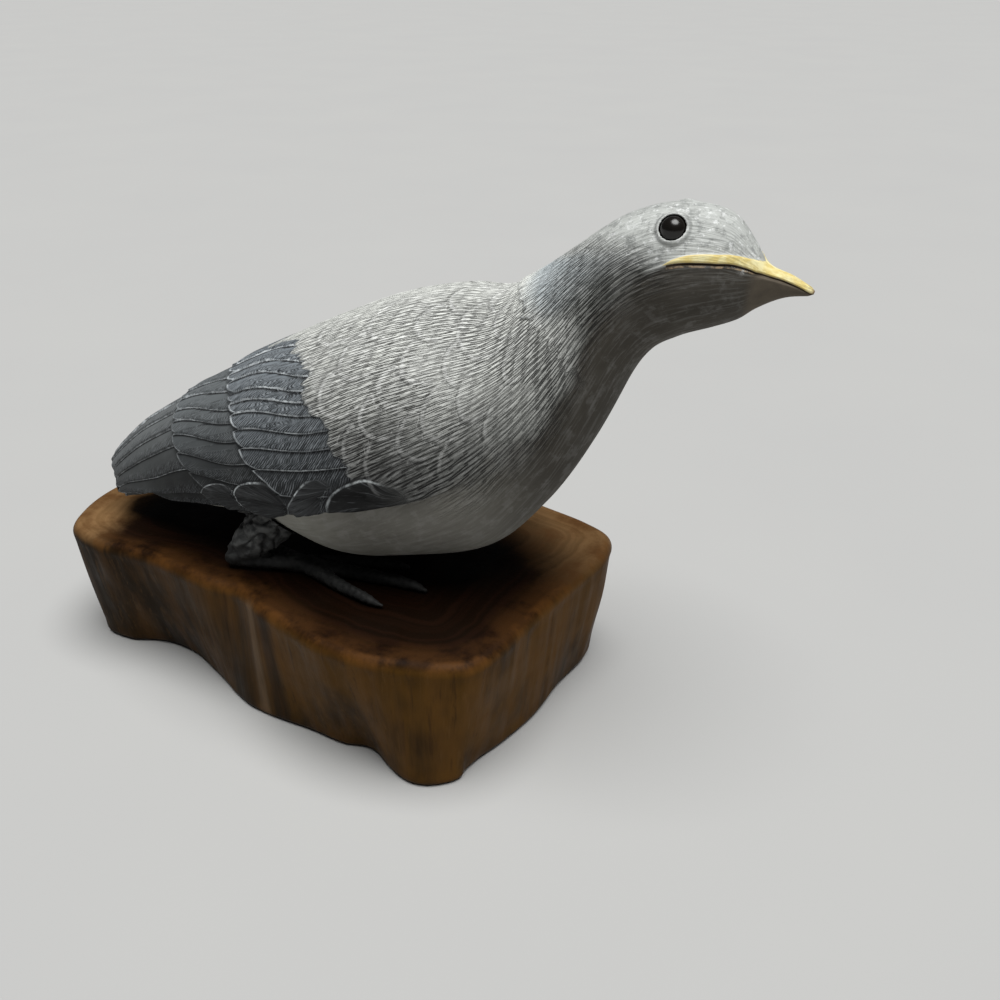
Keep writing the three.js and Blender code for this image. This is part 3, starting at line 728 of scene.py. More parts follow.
def tube(rows, side, sides_around=20, per_row=8):
    """Round tube along the rows' centres with the rows' radii, and half balls on its ends."""
    where = np.linspace(0, len(rows) - 1, per_row * (len(rows) - 1) + 1)
    x, out, z, radius = through_points(rows, where).T
    line = BIRD_ORIGIN + np.stack([x, side * out, z], -1)
    ahead = np.gradient(line, axis=0)
    ahead /= np.linalg.norm(ahead, axis=1)[:, None]
    caps = np.radians([80, 50, 20])
    line = np.concatenate([line[:1] - radius[0] * np.sin(caps)[:, None] * ahead[:1], line,
                           line[-1:] + radius[-1] * np.sin(caps[::-1])[:, None] * ahead[-1:]])
    ahead = np.concatenate([ahead[:1]] * 3 + [ahead] + [ahead[-1:]] * 3)
    radius = np.concatenate([radius[0] * np.cos(caps), radius, radius[-1] * np.cos(caps[::-1])])
    across = np.cross([0, 0, 1], ahead)
    across /= np.linalg.norm(across, axis=1)[:, None]
    up = np.cross(ahead, across)
    turn = np.linspace(0, 2 * np.pi, sides_around, endpoint=False)[None, :, None]
    ring = across[:, None] * np.cos(turn) + up[:, None] * np.sin(turn)
    grid = line[:, None] + radius[:, None, None] * ring
    first = list(range(sides_around))
    last = [len(line) * sides_around - 1 - k for k in first]
    return grid.reshape(-1, 3), join_rows(len(line), sides_around).tolist() + [first, last]


def joined_limbs(name, side):
    """Tubes of one side as one skin, by a fine voxel remesh and a few smoothing steps."""
    points, faces = [], []
    for rows in (THIGH, SHANK, *TOES):
        limb_points, limb_faces = tube(rows, side)
        start = sum(len(p) for p in points)
        points.append(limb_points)
        faces += [[k + start for k in face] for face in limb_faces]
    piece = new_piece(name, np.vstack(points), faces)
    remesh = piece.modifiers.new("join", "REMESH")
    remesh.mode, remesh.voxel_size = "VOXEL", 0.42 * MM
    even = piece.modifiers.new("even", "SMOOTH")
    even.factor, even.iterations = 0.5, 6
    whole = bpy.data.meshes.new_from_object(piece.evaluated_get(bpy.context.evaluated_depsgraph_get()))
    piece.modifiers.clear()
    piece.data = whole
    return piece


# %% [markdown]
# On the real carving thigh and toes grow out of each other as in modelled putty, with curls pressed
# into the thigh and low rings across the toes. The tubes are joined by voxels first, because only
# one closed skin can be pushed about as a whole. Points that would stand in the bird then slide
# down the thigh, so a small gap stays between the two pieces.

# %% Legs
PIECE_GAP, TRIM_SPARE, TRIM_STEPS = 0.3, 0.15, 9
THIGH_PLACES = np.linspace(2.6, 6.6, 161)
RING_SPACING = 2.1


def height_over_skin(points):
    """Distance in mm of each point outside the bird's plain skin, found on the section whose
    plane passes through the point."""
    s = through_points(SECTIONS, THIGH_PLACES)
    local = points - BIRD_ORIGIN
    lean = np.radians(s[:, 2])
    ahead = (local[:, :1] - s[:, 0]) * np.cos(lean) + (local[:, 2:] - s[:, 1]) * np.sin(lean)
    best = np.abs(ahead).argmin(1)
    s, lean = s[best], lean[best]
    up = (local[:, 2] - s[:, 1]) * np.cos(lean) - (local[:, 0] - s[:, 0]) * np.sin(lean)
    out = np.abs(local[:, 1])
    power = np.where(up > 0, s[:, 6], s[:, 7])
    reach = np.where(up > 0, s[:, 4], s[:, 5])
    size = (np.abs(out / s[:, 3]) ** power + np.abs(up / reach) ** power) ** (1 / power)
    return (size - 1) * np.hypot(out, up) / np.maximum(size, 0.01)


def lumpy(points, normals):
    """Points pushed along their normals by noise: curls on the thigh, low rings on the toes.
    Also gives how deep in a curl each point lies."""
    x, y, z = points.T
    thigh = smooth(z - BIRD_ORIGIN[2], 3.5, 7)
    lumps = noise((x + z) / 2.6, (y - z) / 2.2, 61)
    curls = 1 - smooth(np.abs(noise((x - z) / 3.4, (y + 0.7 * z) / 2.8, 62)), 0, 0.35)
    rings = np.cos(x * 2 * np.pi / RING_SPACING + 0.6 * lumps)
    push = thigh * (0.5 * lumps - 0.9 * curls) + (1 - thigh) * (0.08 * rings + 0.15 * lumps)
    return points + push[:, None] * normals, curls * thigh


def trimmed(points, side):
    """Points slid down the thigh's axis, a few times, until they clear the bird's plain skin."""
    down_thigh = (np.array(THIGH[2]) - THIGH[0])[:3] * [1, side, 1]
    down_thigh /= np.linalg.norm(down_thigh)
    for _ in range(TRIM_STEPS):
        sunk = np.clip(PIECE_GAP + TRIM_SPARE - height_over_skin(points), 0, None)
        sunk = sunk * (points[:, 2] > BIRD_ORIGIN[2] + 4)
        points = points + sunk[:, None] * down_thigh
    points[:, 2] = np.maximum(points[:, 2], BIRD_ORIGIN[2] + PIECE_GAP)
    print("still short of the gap:", round(float(sunk.max()), 2), "mm")
    return points


legs = []
for name, node, one_side in (("squatting_leg_right", "leg_right", -1), ("squatting_leg_left", "leg_left", 1)):
    piece = joined_limbs(name, one_side)
    whole = piece.data
    co, normal = (np.zeros(len(whole.vertices) * 3, np.float32) for _ in range(2))
    whole.vertices.foreach_get("co", co)
    whole.vertex_normals.foreach_get("vector", normal)
    co, curl = lumpy(co.reshape(-1, 3) / MM, normal.reshape(-1, 3))
    co = trimmed(co, one_side)
    whole.vertices.foreach_set("co", (co * MM).astype(np.float32).ravel())
    layer = whole.attributes.new("curl", "FLOAT", "POINT")
    layer.data.foreach_set("value", curl.astype(np.float32))
    whole.polygons.foreach_set("use_smooth", np.ones(len(whole.polygons), bool))
    whole.update()
    print(name, "has", len(whole.polygons), "faces")
    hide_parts(node)
    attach(piece, "root")
    legs.append(piece)

# %% [markdown]
# ## Slab
#
# The slab is sawn across a small trunk and keeps its natural edge. Its outline is a smooth closed
# curve; a profile runs from the middle of the underside out and up the wavy wall, over the rounded
# rim, and back to the middle of the top. A swept profile keeps the wall's folds upright, as wood
# grows, which a displaced block would not.

# %% Slab's outline and profile
SLAB_THICKNESS, RIM_RADIUS, FOOT_RADIUS, WALL_CURVE = 42.0, 3.5, 2.0, 1.3
SLAB_INSET, SLAB_AROUND = 0.15, 560
WALL_ROWS, FOOT_ROWS, RIM_ROWS, FLAT_ROWS = 44, 6, 12, 24
SLAB_MIDDLE = np.array([-36.0, 10.0])
# x and y of the top's edge from the bird's origin, and how much further in the foot lies
SLAB_EDGE = [
    [-121, -9, 5], [-116, -20, 5], [-103.5, -26, 8], [-91, -27, 11.5], [-81, -28, 11], [-69, -31, 8],
    [-58, -33.6, 4.5], [-47, -34.5, -0.5], [-37, -40, 3], [-26, -45, 7], [-15, -49.5, 9.5],
    [-6, -51.5, 12], [3, -52.3, 8.5], [13, -50.8, 2], [22, -49, 3], [30, -45, 7], [34.5, -35, 8],
    [37, -23, 5.5], [40, -10, 4.5], [44, 5, 6.5], [47.7, 21, 6.5], [46, 33, 6], [36, 40, 6], [20, 46, 5],
    [-6, 56, 7], [-34, 67, 5], [-62, 76, 7], [-86, 76, 8], [-103, 66, 5], [-112, 46, 6], [-118, 24, 5],
    [-122, 5, 6],
]

edge = through_points(SLAB_EDGE, np.linspace(0, len(SLAB_EDGE), SLAB_AROUND, endpoint=False), closed=True)
outline, set_in = edge[:, :2], edge[:, 2]
run = np.roll(outline, -1, 0) - np.roll(outline, 1, 0)
run /= np.linalg.norm(run, axis=1)[:, None]
inward_way = np.stack([-run[:, 1], run[:, 0]], -1)

foot = [(FOOT_RADIUS * (1 - math.cos(a)), FOOT_RADIUS * (1 - math.sin(a)))
        for a in np.linspace(0, 1.4, FOOT_ROWS)]
wall = [(z, 0.0) for z in np.linspace(FOOT_RADIUS, SLAB_THICKNESS - RIM_RADIUS, WALL_ROWS)]
rim = [(SLAB_THICKNESS - RIM_RADIUS * (1 - math.sin(a)), RIM_RADIUS * (1 - math.cos(a)))
       for a in np.linspace(0, math.pi / 2, RIM_ROWS)[1:]]
profile = np.array(foot + wall + rim)
wall_z, inset = profile[:, 0][:, None], profile[:, 1][:, None]
pulled = SLAB_INSET + inset + set_in * (1 - wall_z / SLAB_THICKNESS) ** WALL_CURVE
wall_points = outline + inward_way * pulled[..., None]
to_middle = np.linspace(0, 1, FLAT_ROWS + 2)[1:-1, None, None]
top_points = wall_points[-1] * (1 - to_middle) + SLAB_MIDDLE * to_middle
bottom_points = wall_points[0] * to_middle + SLAB_MIDDLE * (1 - to_middle)
flat = np.concatenate([bottom_points, wall_points, top_points])
heights = np.concatenate([np.zeros((FLAT_ROWS, SLAB_AROUND)), wall_z + np.zeros((1, SLAB_AROUND)),
                          np.full((FLAT_ROWS, SLAB_AROUND), SLAB_THICKNESS)])
slab_grid = np.concatenate([flat, heights[..., None]], -1) + [BIRD_ORIGIN[0], BIRD_ORIGIN[1], 0]
print("slab's outline is", round(float(np.linalg.norm(outline - np.roll(outline, 1, 0), axis=1).sum())), "mm")

# %% [markdown]
# Shallow upright flutes break up the wall, and the top is dished a little, as if by rubbing.
# `inward` is how far the top lies inside the edge: its growth rings follow it. A pale scar, partly
# a painted highlight of a ridge, and a dark fold of painted shade lie side by side on the wall at
# the bird's right.

# %% Slab as one mesh
FLUTE_HEIGHT, DISH_DEPTH = 0.45, 0.12
RIDGE_AT, RIDGE_WIDTH, FOLD_AT, FOLD_WIDTH = [-40.5, -37.8], 2.6, [-35.5, -41.2], 3.4

x, y, z = np.moveaxis(slab_grid, -1, 0)
flute = 0.5 + 0.5 * noise(x / 5 + z / 40, y / 5, 71)
flute = flute + 0.4 * noise(x / 2.1, y / 2.1 + z / 60, 72)
on_wall = smooth(heights, 1, 6) * (1 - smooth(heights, 36, 40))
slab_grid[..., :2] += inward_way * (FLUTE_HEIGHT * np.maximum(flute, 0) * on_wall)[..., None]
dish = DISH_DEPTH * (1 + noise(x / 14, y / 11, 73))
distance_in = np.linalg.norm(flat - outline, axis=-1)
flat_or_rim = np.arange(len(flat)) >= FLAT_ROWS + FOOT_ROWS + WALL_ROWS
is_top = flat_or_rim[:, None] + 0 * heights
slab_grid[..., 2] -= dish * is_top * smooth(distance_in, 3, 12)

slab_rows = len(slab_grid)
middle_x, middle_y = SLAB_MIDDLE + BIRD_ORIGIN[:2]
slab_points = np.vstack([slab_grid.reshape(-1, 3), [middle_x, middle_y, SLAB_THICKNESS - 0.1],
                         [middle_x, middle_y, 0]])
top_number, bottom_number = slab_rows * SLAB_AROUND, slab_rows * SLAB_AROUND + 1
last = (slab_rows - 1) * SLAB_AROUND
fans = [[last + c, last + (c + 1) % SLAB_AROUND, top_number] for c in range(SLAB_AROUND)]
fans += [[(c + 1) % SLAB_AROUND, c, bottom_number] for c in range(SLAB_AROUND)]
# Painted light and shade: a pale scar with the highlight of a ridge, and beside it the shadow of a fold.
scar_ridge_highlight = bell(np.linalg.norm(outline - RIDGE_AT, axis=1), 0, RIDGE_WIDTH)
fold_shadow = bell(np.linalg.norm(outline - FOLD_AT, axis=1), 0, FOLD_WIDTH)
slab_numbers = {
    "inward": np.append((distance_in * is_top).ravel(), [45, 0]),
    "top": np.append((is_top * smooth(heights, 38.5, 41.9)).ravel(), [1, 0]),
    "scar_ridge_light_fold_shade": np.append(((scar_ridge_highlight - fold_shadow) + 0 * heights).ravel(), [0, 0]),
}
live_edge_slab = new_piece("live_edge_slab", slab_points, join_rows(slab_rows, SLAB_AROUND).tolist() + fans,
                           slab_numbers)
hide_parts("wood_base")
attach(live_edge_slab, "root")

# %% [markdown]
# ## Materials
#
# A material is a small tree of steps. This helper keeps each recipe short: one method per kind of
# step, and numbers that are the same all over are set on the shader's own sockets. A painter
# works in coats, so `coat` lays one paint over what is under it, as thick as its masks say.

# %% Recipe for a material
class Recipe:
    """Node tree of one material, ending in a Principled shader."""

    def __init__(self, name, **fixed):
        self.material = bpy.data.materials.new(name)
        self.material.use_nodes = True
        self.tree = self.material.node_tree
        self.shader = self.tree.nodes["Principled BSDF"]
        for title, value in fixed.items():
            self.shader.inputs[title.replace("_", " ")].default_value = value

    def step(self, kind, settings=None, inputs=None, out=0):
        """One node: its settings, its inputs as sockets or plain values, and the output wanted."""
        n = self.tree.nodes.new("ShaderNode" + kind)
        for title, value in (settings or {}).items():
            setattr(n, title, value)
        for title, value in (inputs or {}).items():
            if isinstance(value, bpy.types.NodeSocket):
                self.tree.links.new(value, n.inputs[title])
            else:
                n.inputs[title].default_value = value
        return n.outputs[out]

    def number(self, title):
        return self.step("Attribute", {"attribute_name": title}, out="Fac")

    def where(self):
        return self.step("TexCoord", out="Object")

    def axis(self, where, number):
        return self.step("SeparateXYZ", {}, {"Vector": where}, out=number)

    def map(self, x, y, z=0.0):
        return self.step("CombineXYZ", {}, {0: x, 1: y, 2: z})

    def compute(self, operation, a, b=0.0):
        return self.step("Math", {"operation": operation}, {0: a, 1: b})

    def less(self, a, b):
        return self.compute("SUBTRACT", a, b)

    def chain(self, operation, values):
        total = values[0]
        for value in values[1:]:
            total = self.compute(operation, total, value)
        return total

    def add(self, *values):
        return self.chain("ADD", values)

    def times(self, *values):
        return self.chain("MULTIPLY", values)

    def ramp(self, value, low, high, start=0.0, end=1.0):
        """Start at low and end at high, with an S-shaped ramp; low may be the larger number."""
        if low > high:
            low, high, start, end = high, low, end, start
        return self.step("MapRange", {"interpolation_type": "SMOOTHSTEP"},
                         {"Value": value, "From Min": low, "From Max": high, "To Min": start, "To Max": end})

    def band(self, value, middle, none, full):
        """1 where a number is within full of the middle, 0 where it is further off than none."""
        return self.ramp(self.compute("ABSOLUTE", self.less(value, middle)), none, full)

    def noise(self, where, scale, stretch=(1, 1, 1), detail=3.0, roughness=0.55):
        turned = self.step("Mapping", {}, {"Vector": where, "Scale": stretch})
        return self.step("TexNoise", {}, {"Vector": turned, "Scale": scale, "Detail": detail,
                                          "Roughness": roughness})

    def mix(self, f, a, b):
        return self.step("Mix", {"data_type": "RGBA", "clamp_factor": True}, {0: f, 6: a, 7: b}, out=2)

    def coat(self, under, paint, *amounts):
        """Paint laid over what is under it, as thick as the amounts multiplied together."""
        return self.mix(self.times(*amounts), under, paint)

    def bump(self, height, millimetres, strength):
        return self.step("Bump", {}, {"Height": height, "Distance": millimetres * MM, "Strength": strength})

    def end(self, **sockets):
        for title, value in sockets.items():
            self.tree.links.new(value, self.shader.inputs[title.replace("_", " ")])
        return self.material


def rgb(*screen):
    return (*from_screen(*screen), 1.0)


# %% [markdown]
# The bird's paint starts from the broad colours on its points. The first coats are on mantle, neck
# and breast: soft streaks, ridges dragged with a dry pale brush, and grooves that hold dark wash.
# Each groove is worked out again from the same sines as the relief, so paint and cut agree.

# %% Feather paint: strokes and dry brush
r = Recipe("painted_feathers", Roughness=0.72, Specular_IOR_Level=0.28)
space = r.where()
base = r.step("Attribute", {"attribute_name": "paint"}, out="Color")
burnt_n, travel_n, left_n, wing_n, comb_n = (
    r.number(title) for title in ("burnt", "travel", "left", "wing", "comb"))
LEFT_SHIFT = 37.0
INK, WASH, BREAST_WASH = rgb(30, 31, 32), rgb(16, 16, 15), rgb(40, 38, 35)

combed = r.compute("DIVIDE", comb_n, r.number("spacing"))
line_n = r.compute("FLOOR", combed)
left_shift = r.times(left_n, LEFT_SHIFT)


def wave_n(rate, step, start_left, size):
    """The sine of the burned strokes once more, as nodes."""
    start = r.add(r.times(line_n, step), r.times(left_n, start_left))
    return r.times(r.compute("SINE", r.add(r.times(travel_n, rate), start)), size)


middle_n = r.add(0.5, wave_n(*WANDER))
off_n = r.times(r.compute("ABSOLUTE", r.less(r.less(combed, line_n), middle_n)), r.number("spacing_mm"))
deep_n = r.add(CUT_MIDDLE, wave_n(*CUT_SHORT), wave_n(*CUT_LONG))
grain_map = r.map(travel_n, comb_n, left_shift)
ragged = r.noise(grain_map, 1.0, (0.45, 2.8, 1), detail=3)
width = r.add(0.03, r.times(ragged, 0.25))
worn_off = r.ramp(r.noise(space, 70, detail=3), 0.36, 0.56, 0.65, 1.0)
dark_line = r.times(r.ramp(r.less(off_n, width), 0.09, -0.06), r.ramp(deep_n, -0.05, 0.4), burnt_n, worn_off)
ridge_top = r.times(r.ramp(off_n, 0.18, 0.34), burnt_n, r.ramp(ragged, 0.42, 0.6))
fine = r.noise(grain_map, 1.0, (0.22, 2.6, 1), detail=4, roughness=0.62)
fine_dark = r.times(r.ramp(fine, 0.50, 0.40), burnt_n)
fine_pale = r.times(r.ramp(fine, 0.54, 0.68), r.add(r.times(burnt_n, 0.8), 0.1))

# %% [markdown]
# The order of the coats is the painter's. The pale rims of the mantle's rounded feathers come
# early and once more at the end, thinly, because the real ones run partly under the strokes and
# partly over them. `broken` is dry paint that has only caught on the high spots.

# %% Feather paint: coats on mantle and breast
# Pale of the dry brush, whiter toward the top as painted light.
pale = r.mix(r.number("dry_brush_top_light"), base, rgb(240, 241, 240))
patch = r.noise(space, 110, detail=4)
soft = r.noise(grain_map, 1.0, (0.11, 0.55, 1), detail=4, roughness=0.65)
mottle = r.noise(space, 230, detail=4, roughness=0.65)
broken = r.ramp(r.noise(space, 520, detail=4, roughness=0.65), 0.38, 0.6)
under_n = r.less(1.0, r.compute("MAXIMUM", wing_n, burnt_n))
scallop_n, scallop_rim_n = r.number("scallop"), r.number("scallop_rim")
scallop_white = r.times(r.band(scallop_n, 0.55, 0.6, 0.15), scallop_rim_n)
# Painted shadow just outside the rim of each rounded feather on the mantle.
scallop_rim_shadow = r.times(r.ramp(scallop_n, -1.4, -0.3), r.ramp(scallop_n, 0.15, -0.2), scallop_rim_n)

colour = r.coat(base, pale, r.ramp(patch, 0.42, 0.66), r.add(r.times(burnt_n, 0.22), 0.05))
colour = r.coat(colour, pale, scallop_white, r.add(r.times(broken, 0.6), 0.3))
# Painted shadow below the mantle's rounded feathers.
colour = r.coat(colour, r.mix(0.4, INK, colour), scallop_rim_shadow, 0.6)
colour = r.coat(colour, pale, r.ramp(soft, 0.5, 0.62), under_n, 0.22)
colour = r.coat(colour, pale, r.ramp(mottle, 0.5, 0.66), under_n, 0.25)
colour = r.coat(colour, r.mix(0.5, BREAST_WASH, colour), r.ramp(soft, 0.48, 0.36), under_n, 0.25)
colour = r.coat(colour, pale, ridge_top, 0.75)
colour = r.coat(colour, pale, fine_pale, 0.35)
colour = r.coat(colour, r.mix(0.35, INK, colour), fine_dark, 0.45)
colour = r.coat(colour, r.mix(0.1, WASH, colour), dark_line, 0.96)
colour = r.coat(colour, pale, scallop_white, broken, 0.38)

# %% [markdown]
# On wing and tail each feather has a thin white line along its raised edge and round its tip, a
# painted shadow where the next feather covers it and under the tips of the tier above, and fine
# oblique barbs. All of them are read from the distances in mm to the feather's edge and tip, so
# they keep their width on every feather.

# %% Feather paint: wing and tail
BARB_SLANT, BARB_RATE, BARB_WAVER = 0.9, 8.2, 4.0

edge_white_n, span_n = r.number("edge_white"), r.number("span")
part = r.compute("FRACT", r.number("count"))
waver = r.less(r.noise(space, 600, detail=3), 0.5)
into_edge = r.add(r.times(r.less(1.0, part), span_n), r.times(waver, 0.8))
past_edge = r.times(part, span_n)
dim = r.ramp(r.noise(space, 85, detail=3), 0.36, 0.62, 0.3, 1.0)
white_line = r.times(r.ramp(into_edge, 0.55, 0.2), edge_white_n)
white_tip = r.times(r.band(r.number("tip"), 0.25, 0.5, 0.15), r.number("tip_white"))
white = r.times(r.compute("MAXIMUM", white_line, white_tip), dim)
# Painted shadow under each raised feather edge and under the tips of the tier above.
shadow_under_edge = r.times(r.ramp(past_edge, 1.1, 0.3), r.ramp(edge_white_n, 0.0, 0.4))
shadow_under_tips = r.times(r.ramp(r.number("roof"), 1.1, 0.1), wing_n)
colour = r.coat(colour, rgb(22, 23, 25), r.compute("MAXIMUM", shadow_under_edge, shadow_under_tips), 0.88)

along_barb = r.less(travel_n, r.times(into_edge, BARB_SLANT))
barb_map = r.map(along_barb, r.times(into_edge, 0.22), left_shift)
barb_wave = r.compute("SINE", r.add(r.times(along_barb, BARB_RATE), r.times(waver, BARB_WAVER)))
barb = r.add(r.noise(barb_map, 1.0, (2.3, 1.6, 1), detail=3, roughness=0.7), r.times(barb_wave, 0.09))
barb_here = r.times(edge_white_n, r.ramp(into_edge, 8.0, 2.0))
colour = r.coat(colour, rgb(158, 163, 168), r.ramp(barb, 0.52, 0.62), barb_here, 0.42)
colour = r.coat(colour, rgb(26, 27, 29), r.ramp(barb, 0.50, 0.42), barb_here, 0.85)
colour = r.coat(colour, rgb(218, 224, 228), white, r.add(r.times(broken, 0.75), 0.25), 0.9)

# %% [markdown]
# The small feathers at the wing's lower edge are nearly black, with lines that fan out from their
# front end and a pale rim. The head has no barbs: it is speckled, as a sponge or a dry brush
# would leave it.

# %% Feather paint: small feathers and head
oval_n, oval_rim_n, head_n = r.number("oval"), r.number("oval_rim"), r.number("head")
in_oval_n = r.times(r.ramp(oval_n, 0.0, 0.3), wing_n)
oval_white = r.times(r.band(oval_n, 0.15, 0.25, 0.06), oval_rim_n, dim)
# Painted shadow just outside the rear of each small feather's rim.
oval_rim_shadow = r.times(r.ramp(oval_n, -0.8, -0.1), r.ramp(oval_n, 0.1, -0.1), oval_rim_n)
fan_map = r.map(r.times(r.number("fan"), 24.0), r.times(oval_n, 0.25), left_shift)
fan_line = r.noise(fan_map, 1.0, detail=3, roughness=0.65)
# Painted shadow round the small feathers.
colour = r.coat(colour, rgb(18, 18, 20), oval_rim_shadow, 0.8)
colour = r.coat(colour, rgb(140, 144, 148), r.ramp(fan_line, 0.55, 0.65), in_oval_n, 0.2)
colour = r.coat(colour, rgb(16, 16, 18), r.ramp(fan_line, 0.48, 0.40), in_oval_n, 0.75)
colour = r.coat(colour, rgb(200, 206, 208), oval_white, r.add(r.times(broken, 0.85), 0.15), 0.8)

fleck = r.ramp(r.noise(space, 620, detail=3, roughness=0.7), 0.55, 0.66)
speck = r.ramp(r.noise(space, 450, detail=4, roughness=0.7), 0.50, 0.38)
colour = r.coat(colour, rgb(104, 106, 106), speck, head_n, 0.45)
colour = r.coat(colour, rgb(240, 242, 242), fleck, head_n, 0.6)

# %% [markdown]
# A pale ring is painted round each eye, and painted shade darkens the crease of the lid. The upper
# bill is cream yellow, the lower one grey-brown, with a dark cut and a narrow tan lip between them,
# and the tip is brown.

# %% Feather paint: lids and bill
lid_n, beak_n, cleft_n, bill_low_n = (r.number(title) for title in ("lid", "beak", "cleft", "bill_low"))
colour = r.coat(colour, rgb(228, 230, 228), r.band(lid_n, 0.24, 0.28, 0.1), r.add(r.times(broken, 0.7), 0.25))
# Painted shade in the crease of the lid.
colour = r.coat(colour, rgb(60, 62, 62), r.band(lid_n, 1.0, 0.5, 0.1), 0.3)
colour = r.coat(colour, rgb(14, 14, 14), r.ramp(lid_n, -0.02, -0.1))

low_bill = r.mix(r.noise(space, 500), rgb(78, 71, 62), rgb(102, 93, 80))
colour = r.coat(colour, low_bill, bill_low_n)
lip = r.times(r.band(cleft_n, 0.72, 0.28, 0.1), r.ramp(bill_low_n, 0.8, 0.2), broken)
colour = r.coat(colour, rgb(196, 170, 138), lip, 0.75)
colour = r.coat(colour, rgb(54, 36, 14), r.band(cleft_n, 0.2, 0.36, 0.12), 0.9)
on_band = r.ramp(beak_n, -0.02, 0.1)
yellow = r.mix(r.ramp(r.noise(space, 380), 0.35, 0.65), rgb(232, 212, 138), rgb(250, 240, 186))
yellow = r.coat(yellow, rgb(206, 178, 96), r.ramp(beak_n, 0.5, 0.1), 0.5)
colour = r.coat(colour, yellow, on_band)
colour = r.coat(colour, rgb(112, 84, 70), r.number("beyond"))

# %% [markdown]
# The finest relief is too small for the mesh: the bottom of each burned line, barbs, brush marks
# and the thickness of the white paint. It follows the same masks as the colour.

# %% Feather paint: fine relief and sheen
grit = r.noise(space, 1600, detail=2)
height = r.add(
    r.times(r.add(dark_line, r.times(fine_dark, 0.5)), -1.0),
    r.times(grit, 0.12),
    r.times(barb, barb_here, 1.2),
    r.times(fan_line, in_oval_n),
    r.times(white, 0.6),
)
satin = r.ramp(beak_n, -0.02, 0.1, 0.8, 0.5)
feather_paint = r.end(Base_Color=colour, Normal=r.bump(height, 0.35, 0.9), Roughness=satin)
carved_bird.data.materials.append(feather_paint)
print("steps in the feather paint:", len(r.tree.nodes))

# %% [markdown]
# Black glass is a dark colour with a smooth, hard gloss, and a little brown noise keeps it from
# being a flat black. The legs are dark grey, paler on the lumps and nearly black in the curls; the
# toes, low on the wood, are darkest, as painted shade for the shadow under the belly.

# %% Glass and leg paint
TOE_SHADE_HEIGHTS = (0.051, 0.046)

r = Recipe("black_glass", Roughness=0.22, Specular_IOR_Level=0.45)
glass = r.end(Base_Color=r.mix(r.noise(r.where(), 300), rgb(10, 10, 10), rgb(26, 22, 18)))
for eye in eyes:
    eye.data.materials.append(glass)

r = Recipe("leg_paint", Roughness=0.7, Specular_IOR_Level=0.3)
space = r.where()
mottle = r.noise(space, 420, detail=4)
colour = r.mix(r.ramp(mottle, 0.35, 0.65), rgb(34, 35, 35), rgb(76, 77, 76))
# Painted shade: the toes, low on the wood, are painted darker.
colour = r.coat(colour, r.mix(0.2, rgb(13, 13, 13), colour), r.ramp(r.axis(space, 2), *TOE_SHADE_HEIGHTS))
colour = r.coat(colour, rgb(20, 20, 20), r.number("curl"), 0.85)
leg_paint = r.end(Base_Color=colour, Normal=r.bump(mottle, 0.3, 0.8))
for piece in legs:
    piece.data.materials.append(leg_paint)

# %% [markdown]
# The wood is sealed and rubbed to a soft gloss. On the wall the fibres stand upright, so noise is
# drawn out in height and makes vertical streaks. The wall turns amber toward the bird's front and
# darker toward its tail, and it carries a pale scar, partly a painted highlight of a ridge, and a
# dark fold, which is painted shade.

# %% Varnished wood: wall
r = Recipe("varnished_wood", Specular_IOR_Level=0.05)
space = r.where()
east, north = r.axis(space, 0), r.axis(space, 1)
inward_n, scar_ridge_light_fold_shade_n = r.number("inward"), r.number("scar_ridge_light_fold_shade")
streak = r.noise(space, 130, (1, 1, 0.09), detail=5, roughness=0.62)
fibre = r.noise(space, 520, (1, 1, 0.045), detail=4, roughness=0.65)
stain = r.noise(space, 30, (1, 1, 0.6), detail=4)
toward_front = r.ramp(r.add(east, r.times(stain, 0.05)), -0.05, 0.06)
bark = r.mix(r.ramp(streak, 0.36, 0.66), rgb(36, 25, 11), rgb(66, 47, 23))
bark = r.coat(bark, r.mix(0.5, bark, rgb(114, 78, 24)), toward_front, r.ramp(stain, 0.36, 0.6))
bark = r.coat(bark, rgb(32, 23, 13), r.ramp(east, 0.0, -0.04), 0.3)
bark = r.coat(bark, rgb(26, 17, 9), r.ramp(fibre, 0.56, 0.70), 0.45)
bark = r.coat(bark, rgb(104, 76, 44), r.ramp(fibre, 0.44, 0.34), 0.25)
bark = r.coat(bark, rgb(36, 24, 13), r.ramp(stain, 0.52, 0.72), 0.6)
# Pale scar with a painted highlight of a ridge.
bark = r.coat(bark, rgb(116, 95, 72), r.ramp(scar_ridge_light_fold_shade_n, 0.1, 0.9), r.ramp(streak, 0.3, 0.6), 0.65)
# Painted shadow of a fold.
bark = r.coat(bark, rgb(28, 21, 14), r.ramp(scar_ridge_light_fold_shade_n, -0.1, -0.9), 0.75)

# %% [markdown]
# On the top the growth rings follow the distance in from the edge, because a tree's rings are
# copies of its outline. The middle is dark red-brown heartwood darkened further by a painted shadow
# of the bird, the top turns lighter brown toward its edge, both ends are pale sapwood, and a painted
# amber highlight runs along the rim.

# %% Varnished wood: top
ring_at = r.add(inward_n, r.times(r.noise(space, 35, detail=3), 12.0))
ring_map = r.map(ring_at, r.times(r.noise(space, 12), 3.0))
ring_tone = r.ramp(r.noise(ring_map, 0.4, detail=3, roughness=0.5), 0.36, 0.66)
blot = r.noise(space, 75, detail=5, roughness=0.65)
